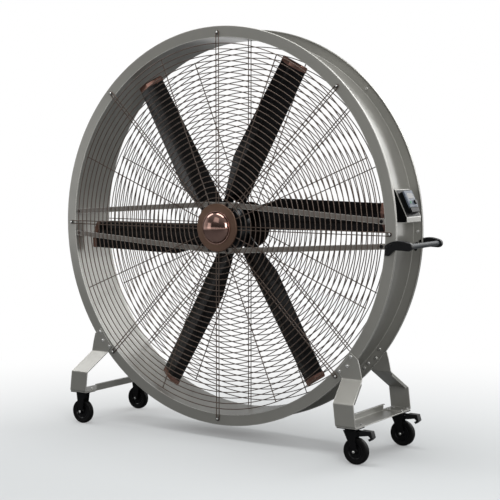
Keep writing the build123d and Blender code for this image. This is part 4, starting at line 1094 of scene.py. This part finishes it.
# Each plate: across, top, bottom, corner radius, lowest and highest face, edge rounding.
for name, finish, slot, stands_for, plates in (
        ("controller_mounting_plate", drive_black, "black_plastic", [],
         [(PLATE_WIDTH, 4.0, slope_length - 5, 3.0, -0.4, 1.2, 0.4)]),
        ("controller_base", drive_black, "black_plastic", ["drive_base"],
         [(DRIVE_WIDTH, DRIVE_TOP, drive_end, 4.0, 0, DRIVE_BASE + 0.2, 0.8)]),
        ("terminal_lid", drive_black, "black_plastic", ["terminal_cover"],
         [(LID_WIDTH, cover_end + 0.6, drive_end - 1, 3.0, DRIVE_BASE, COVER_FACE - 2, 0.8)]),
        ("controller_cover", drive_grey, "grey_plastic", ["drive_cover"],
         [(DRIVE_WIDTH, DRIVE_TOP, cover_end - 0.6, 4.0, DRIVE_BASE, COVER_FACE - 1, 1.5),
          (COVER_WIDTH, DRIVE_TOP + 6, cover_end - 5, 3.0, COVER_FACE - 2, COVER_FACE, 0.8)]),
        ("blank_window", window_black, "black_plastic", [],
         [(WINDOW_WIDTH, DRIVE_TOP + 14, DRIVE_TOP + 40, 2.0,
           COVER_FACE - 0.5, COVER_FACE + 0.4, 0.3)])):
    bm = bmesh.new()
    for across, top, bottom, corner, low, high, edge in plates:
        slab(bm, rounded_box(across, top, bottom, corner), low, high, "Z", edge, SLANT)
    piece(name, bm, finish, stands_for)

soften("speed_knob", 0.8, black_nylon)
soften("start_key", 0.8, key_green)

# %% [markdown]
# ## Floor, light and camera
# The photograph was taken on a pale floor that fades into white. The floor here is real near the
# fan, where it must show the soft shadow, and turns into plain white light a few metres out, for
# the camera and, farther out, for mirror rays. The grey part lies a little in front of the fan.
# The world is white for the camera. For matt surfaces it is a soft dome, darker at the horizon,
# and for mirror rays it has a bright side at the left and one behind, as a studio has walls.
# Seven soft lamps do the rest: a large one overhead and one at the right light the rims and the
# outer wall, the upper left one makes the left leg shine, the low left one draws the strip along
# the blades, the rear ones light the inside of the drum, and the front one fills.

# %% Floor
FLOOR_HALF = 40.0
GREY_MIDDLE = (0.7, -1.05, 0)
floor_mesh = bpy.data.meshes.new("studio_floor")
floor_mesh.from_pydata(
    [(x * FLOOR_HALF, y * FLOOR_HALF, 0) for x, y in ((-1, -1), (1, -1), (1, 1), (-1, 1))],
    [], [(0, 1, 2, 3)])
floor = bpy.data.objects.new("studio_floor", floor_mesh)
bpy.context.scene.collection.objects.link(floor)

floor_paint = bpy.data.materials.new("floor_paint")
floor_paint.use_nodes = True
tree = floor_paint.node_tree
tree.nodes.clear()
position = add(tree, "NewGeometry").outputs["Position"]
distance = add(tree, "VectorMath", {0: position, 1: GREY_MIDDLE}, operation="DISTANCE")
rays = add(tree, "LightPath")
shares = []
for ray, start, end, least in (("Is Camera Ray", 1.2, 4.0, 0.2), ("Is Glossy Ray", 7.0, 11.0, 0)):
    fade = add(tree, "MapRange", {"Value": distance.outputs["Value"], "From Min": start,
                                  "From Max": end, "To Min": least},
               interpolation_type="SMOOTHSTEP")
    share = add(tree, "Math", {0: fade.outputs["Result"], 1: rays.outputs[ray]},
                operation="MULTIPLY")
    shares.append(share.outputs["Value"])
amount = add(tree, "Math", {0: shares[0], 1: shares[1]}, operation="MAXIMUM")
shade = add(tree, "MixRGB", {"Fac": rays.outputs["Is Camera Ray"], "Color1": linear("#727374"),
                             "Color2": linear("#b0b3b4")})
near = add(tree, "BsdfDiffuse", {"Color": shade.outputs["Color"]})
far = add(tree, "Emission", {"Color": linear("#ffffff"), "Strength": 1.0})
mixed = add(tree, "MixShader", {"Fac": amount.outputs["Value"]})
tree.links.new(near.outputs["BSDF"], mixed.inputs[1])
tree.links.new(far.outputs["Emission"], mixed.inputs[2])
out = add(tree, "OutputMaterial")
tree.links.new(mixed.outputs["Shader"], out.inputs["Surface"])
floor_mesh.materials.append(floor_paint)

# %% World
world = bpy.data.worlds.new("studio")
bpy.context.scene.world = world
world.use_nodes = True
tree = world.node_tree
tree.nodes.clear()
rays = add(tree, "LightPath")
direction = add(tree, "NewGeometry").outputs["Position"]
split = add(tree, "SeparateXYZ", {"Vector": direction})
level = {"one": 1.0}
for ray, name in (("Is Camera Ray", "camera"), ("Is Glossy Ray", "mirror"),
                  ("Is Transmission Ray", "clear")):
    level[name] = rays.outputs[ray]
# Each fade goes from one level to another as a part of the direction goes from start to end.
for name, part, start, end, low, high in (
        ("matt dome", "Z", 0.0, 0.6, 0.1, 0.5), ("mirror dome", "Z", 0.0, 0.7, 0.04, 0.4),
        ("left side", "X", -0.75, -0.95, 0.0, 0.8), ("behind", "Y", 0.2, 0.7, 0.0, 1.0),
        ("less low down", "Z", -0.1, 0.35, 0.55, 1.0),
        ("less at the left", "X", -0.5, 0.4, 0.45, 1.0)):
    fade = add(tree, "MapRange", {"Value": split.outputs[part], "From Min": start,
                                  "From Max": end, "To Min": low, "To Max": high})
    level[name] = fade.outputs["Result"]
for name, first, operation, second in (
        ("behind", "behind", "MULTIPLY", "less low down"),
        ("behind", "behind", "MULTIPLY", "less at the left"),
        ("sides", "left side", "MAXIMUM", "behind"),
        ("in a mirror", "mirror dome", "MAXIMUM", "sides"),
        ("in a mirror", "in a mirror", "MULTIPLY", "mirror"),
        ("no mirror", "one", "SUBTRACT", "mirror"),
        ("on matt", "matt dome", "MULTIPLY", "no mirror"),
        ("on the fan", "on matt", "ADD", "in a mirror"),
        ("seen", "camera", "MAXIMUM", "clear"),
        ("strength", "on the fan", "MAXIMUM", "seen")):
    step = add(tree, "Math", {0: level[first], 1: level[second]}, operation=operation)
    level[name] = step.outputs["Value"]
light = add(tree, "Background", {"Color": linear("#ffffff"), "Strength": level["strength"]})
out = add(tree, "OutputWorld")
tree.links.new(light.outputs["Background"], out.inputs["Surface"])

# %% Lamps
AIM = Vector((0, 0, 1.0))
for name, watts, size, spot in (
        ("upper_left_lamp", 62, 2.0, (-4.2, -0.6, 4.1)),
        ("front_lamp", 18, 2.5, (-2.0, -5.5, 4.0)),
        ("low_left_lamp", 9, 1.4, (-4.1, -3.75, 1.3)),
        ("right_front_lamp", 180, 2.5, (4.5, -3.5, 2.5)),
        ("right_rear_lamp", 20, 2.0, (3.5, 4.5, 1.6)),
        ("rear_lamp", 105, 3.2, (1.4, 4.4, 3.5)),
        ("overhead_lamp", 290, 4.0, (0.0, -0.3, 6.0))):
    lamp = bpy.data.lights.new(name, "AREA")
    lamp.energy, lamp.size = watts, size
    holder = bpy.data.objects.new(name, lamp)
    holder.location = spot
    holder.rotation_euler = (AIM - Vector(spot)).to_track_quat("-Z", "Y").to_euler()
    bpy.context.scene.collection.objects.link(holder)

# %% Camera
CAMERA_AZIMUTH = 33.933
CAMERA_ELEVATION = 4.342
CAMERA_DISTANCE = 6.573
CAMERA_TARGET = Vector((0.0529, 0.0, 0.9517))
around, upward = radians(CAMERA_AZIMUTH), radians(CAMERA_ELEVATION)
back = Vector((sin(around) * cos(upward), -cos(around) * cos(upward), sin(upward)))
lens = bpy.data.cameras.new("photo_camera")
lens.lens = 93.53
lens.sensor_width = 36.0
camera = bpy.data.objects.new("photo_camera", lens)
camera.location = CAMERA_TARGET + back * CAMERA_DISTANCE
camera.rotation_euler = (-back).to_track_quat("-Z", "Y").to_euler()
bpy.context.scene.collection.objects.link(camera)
bpy.context.scene.camera = camera

bpy.context.scene.view_settings.view_transform = "Standard"
print("camera at", [round(c, 3) for c in camera.location])

# %% [markdown]
# ## The size must not change
# The dressed fan has to stay in the box of the solid model.

# %% Finish
bpy.context.view_layer.update()
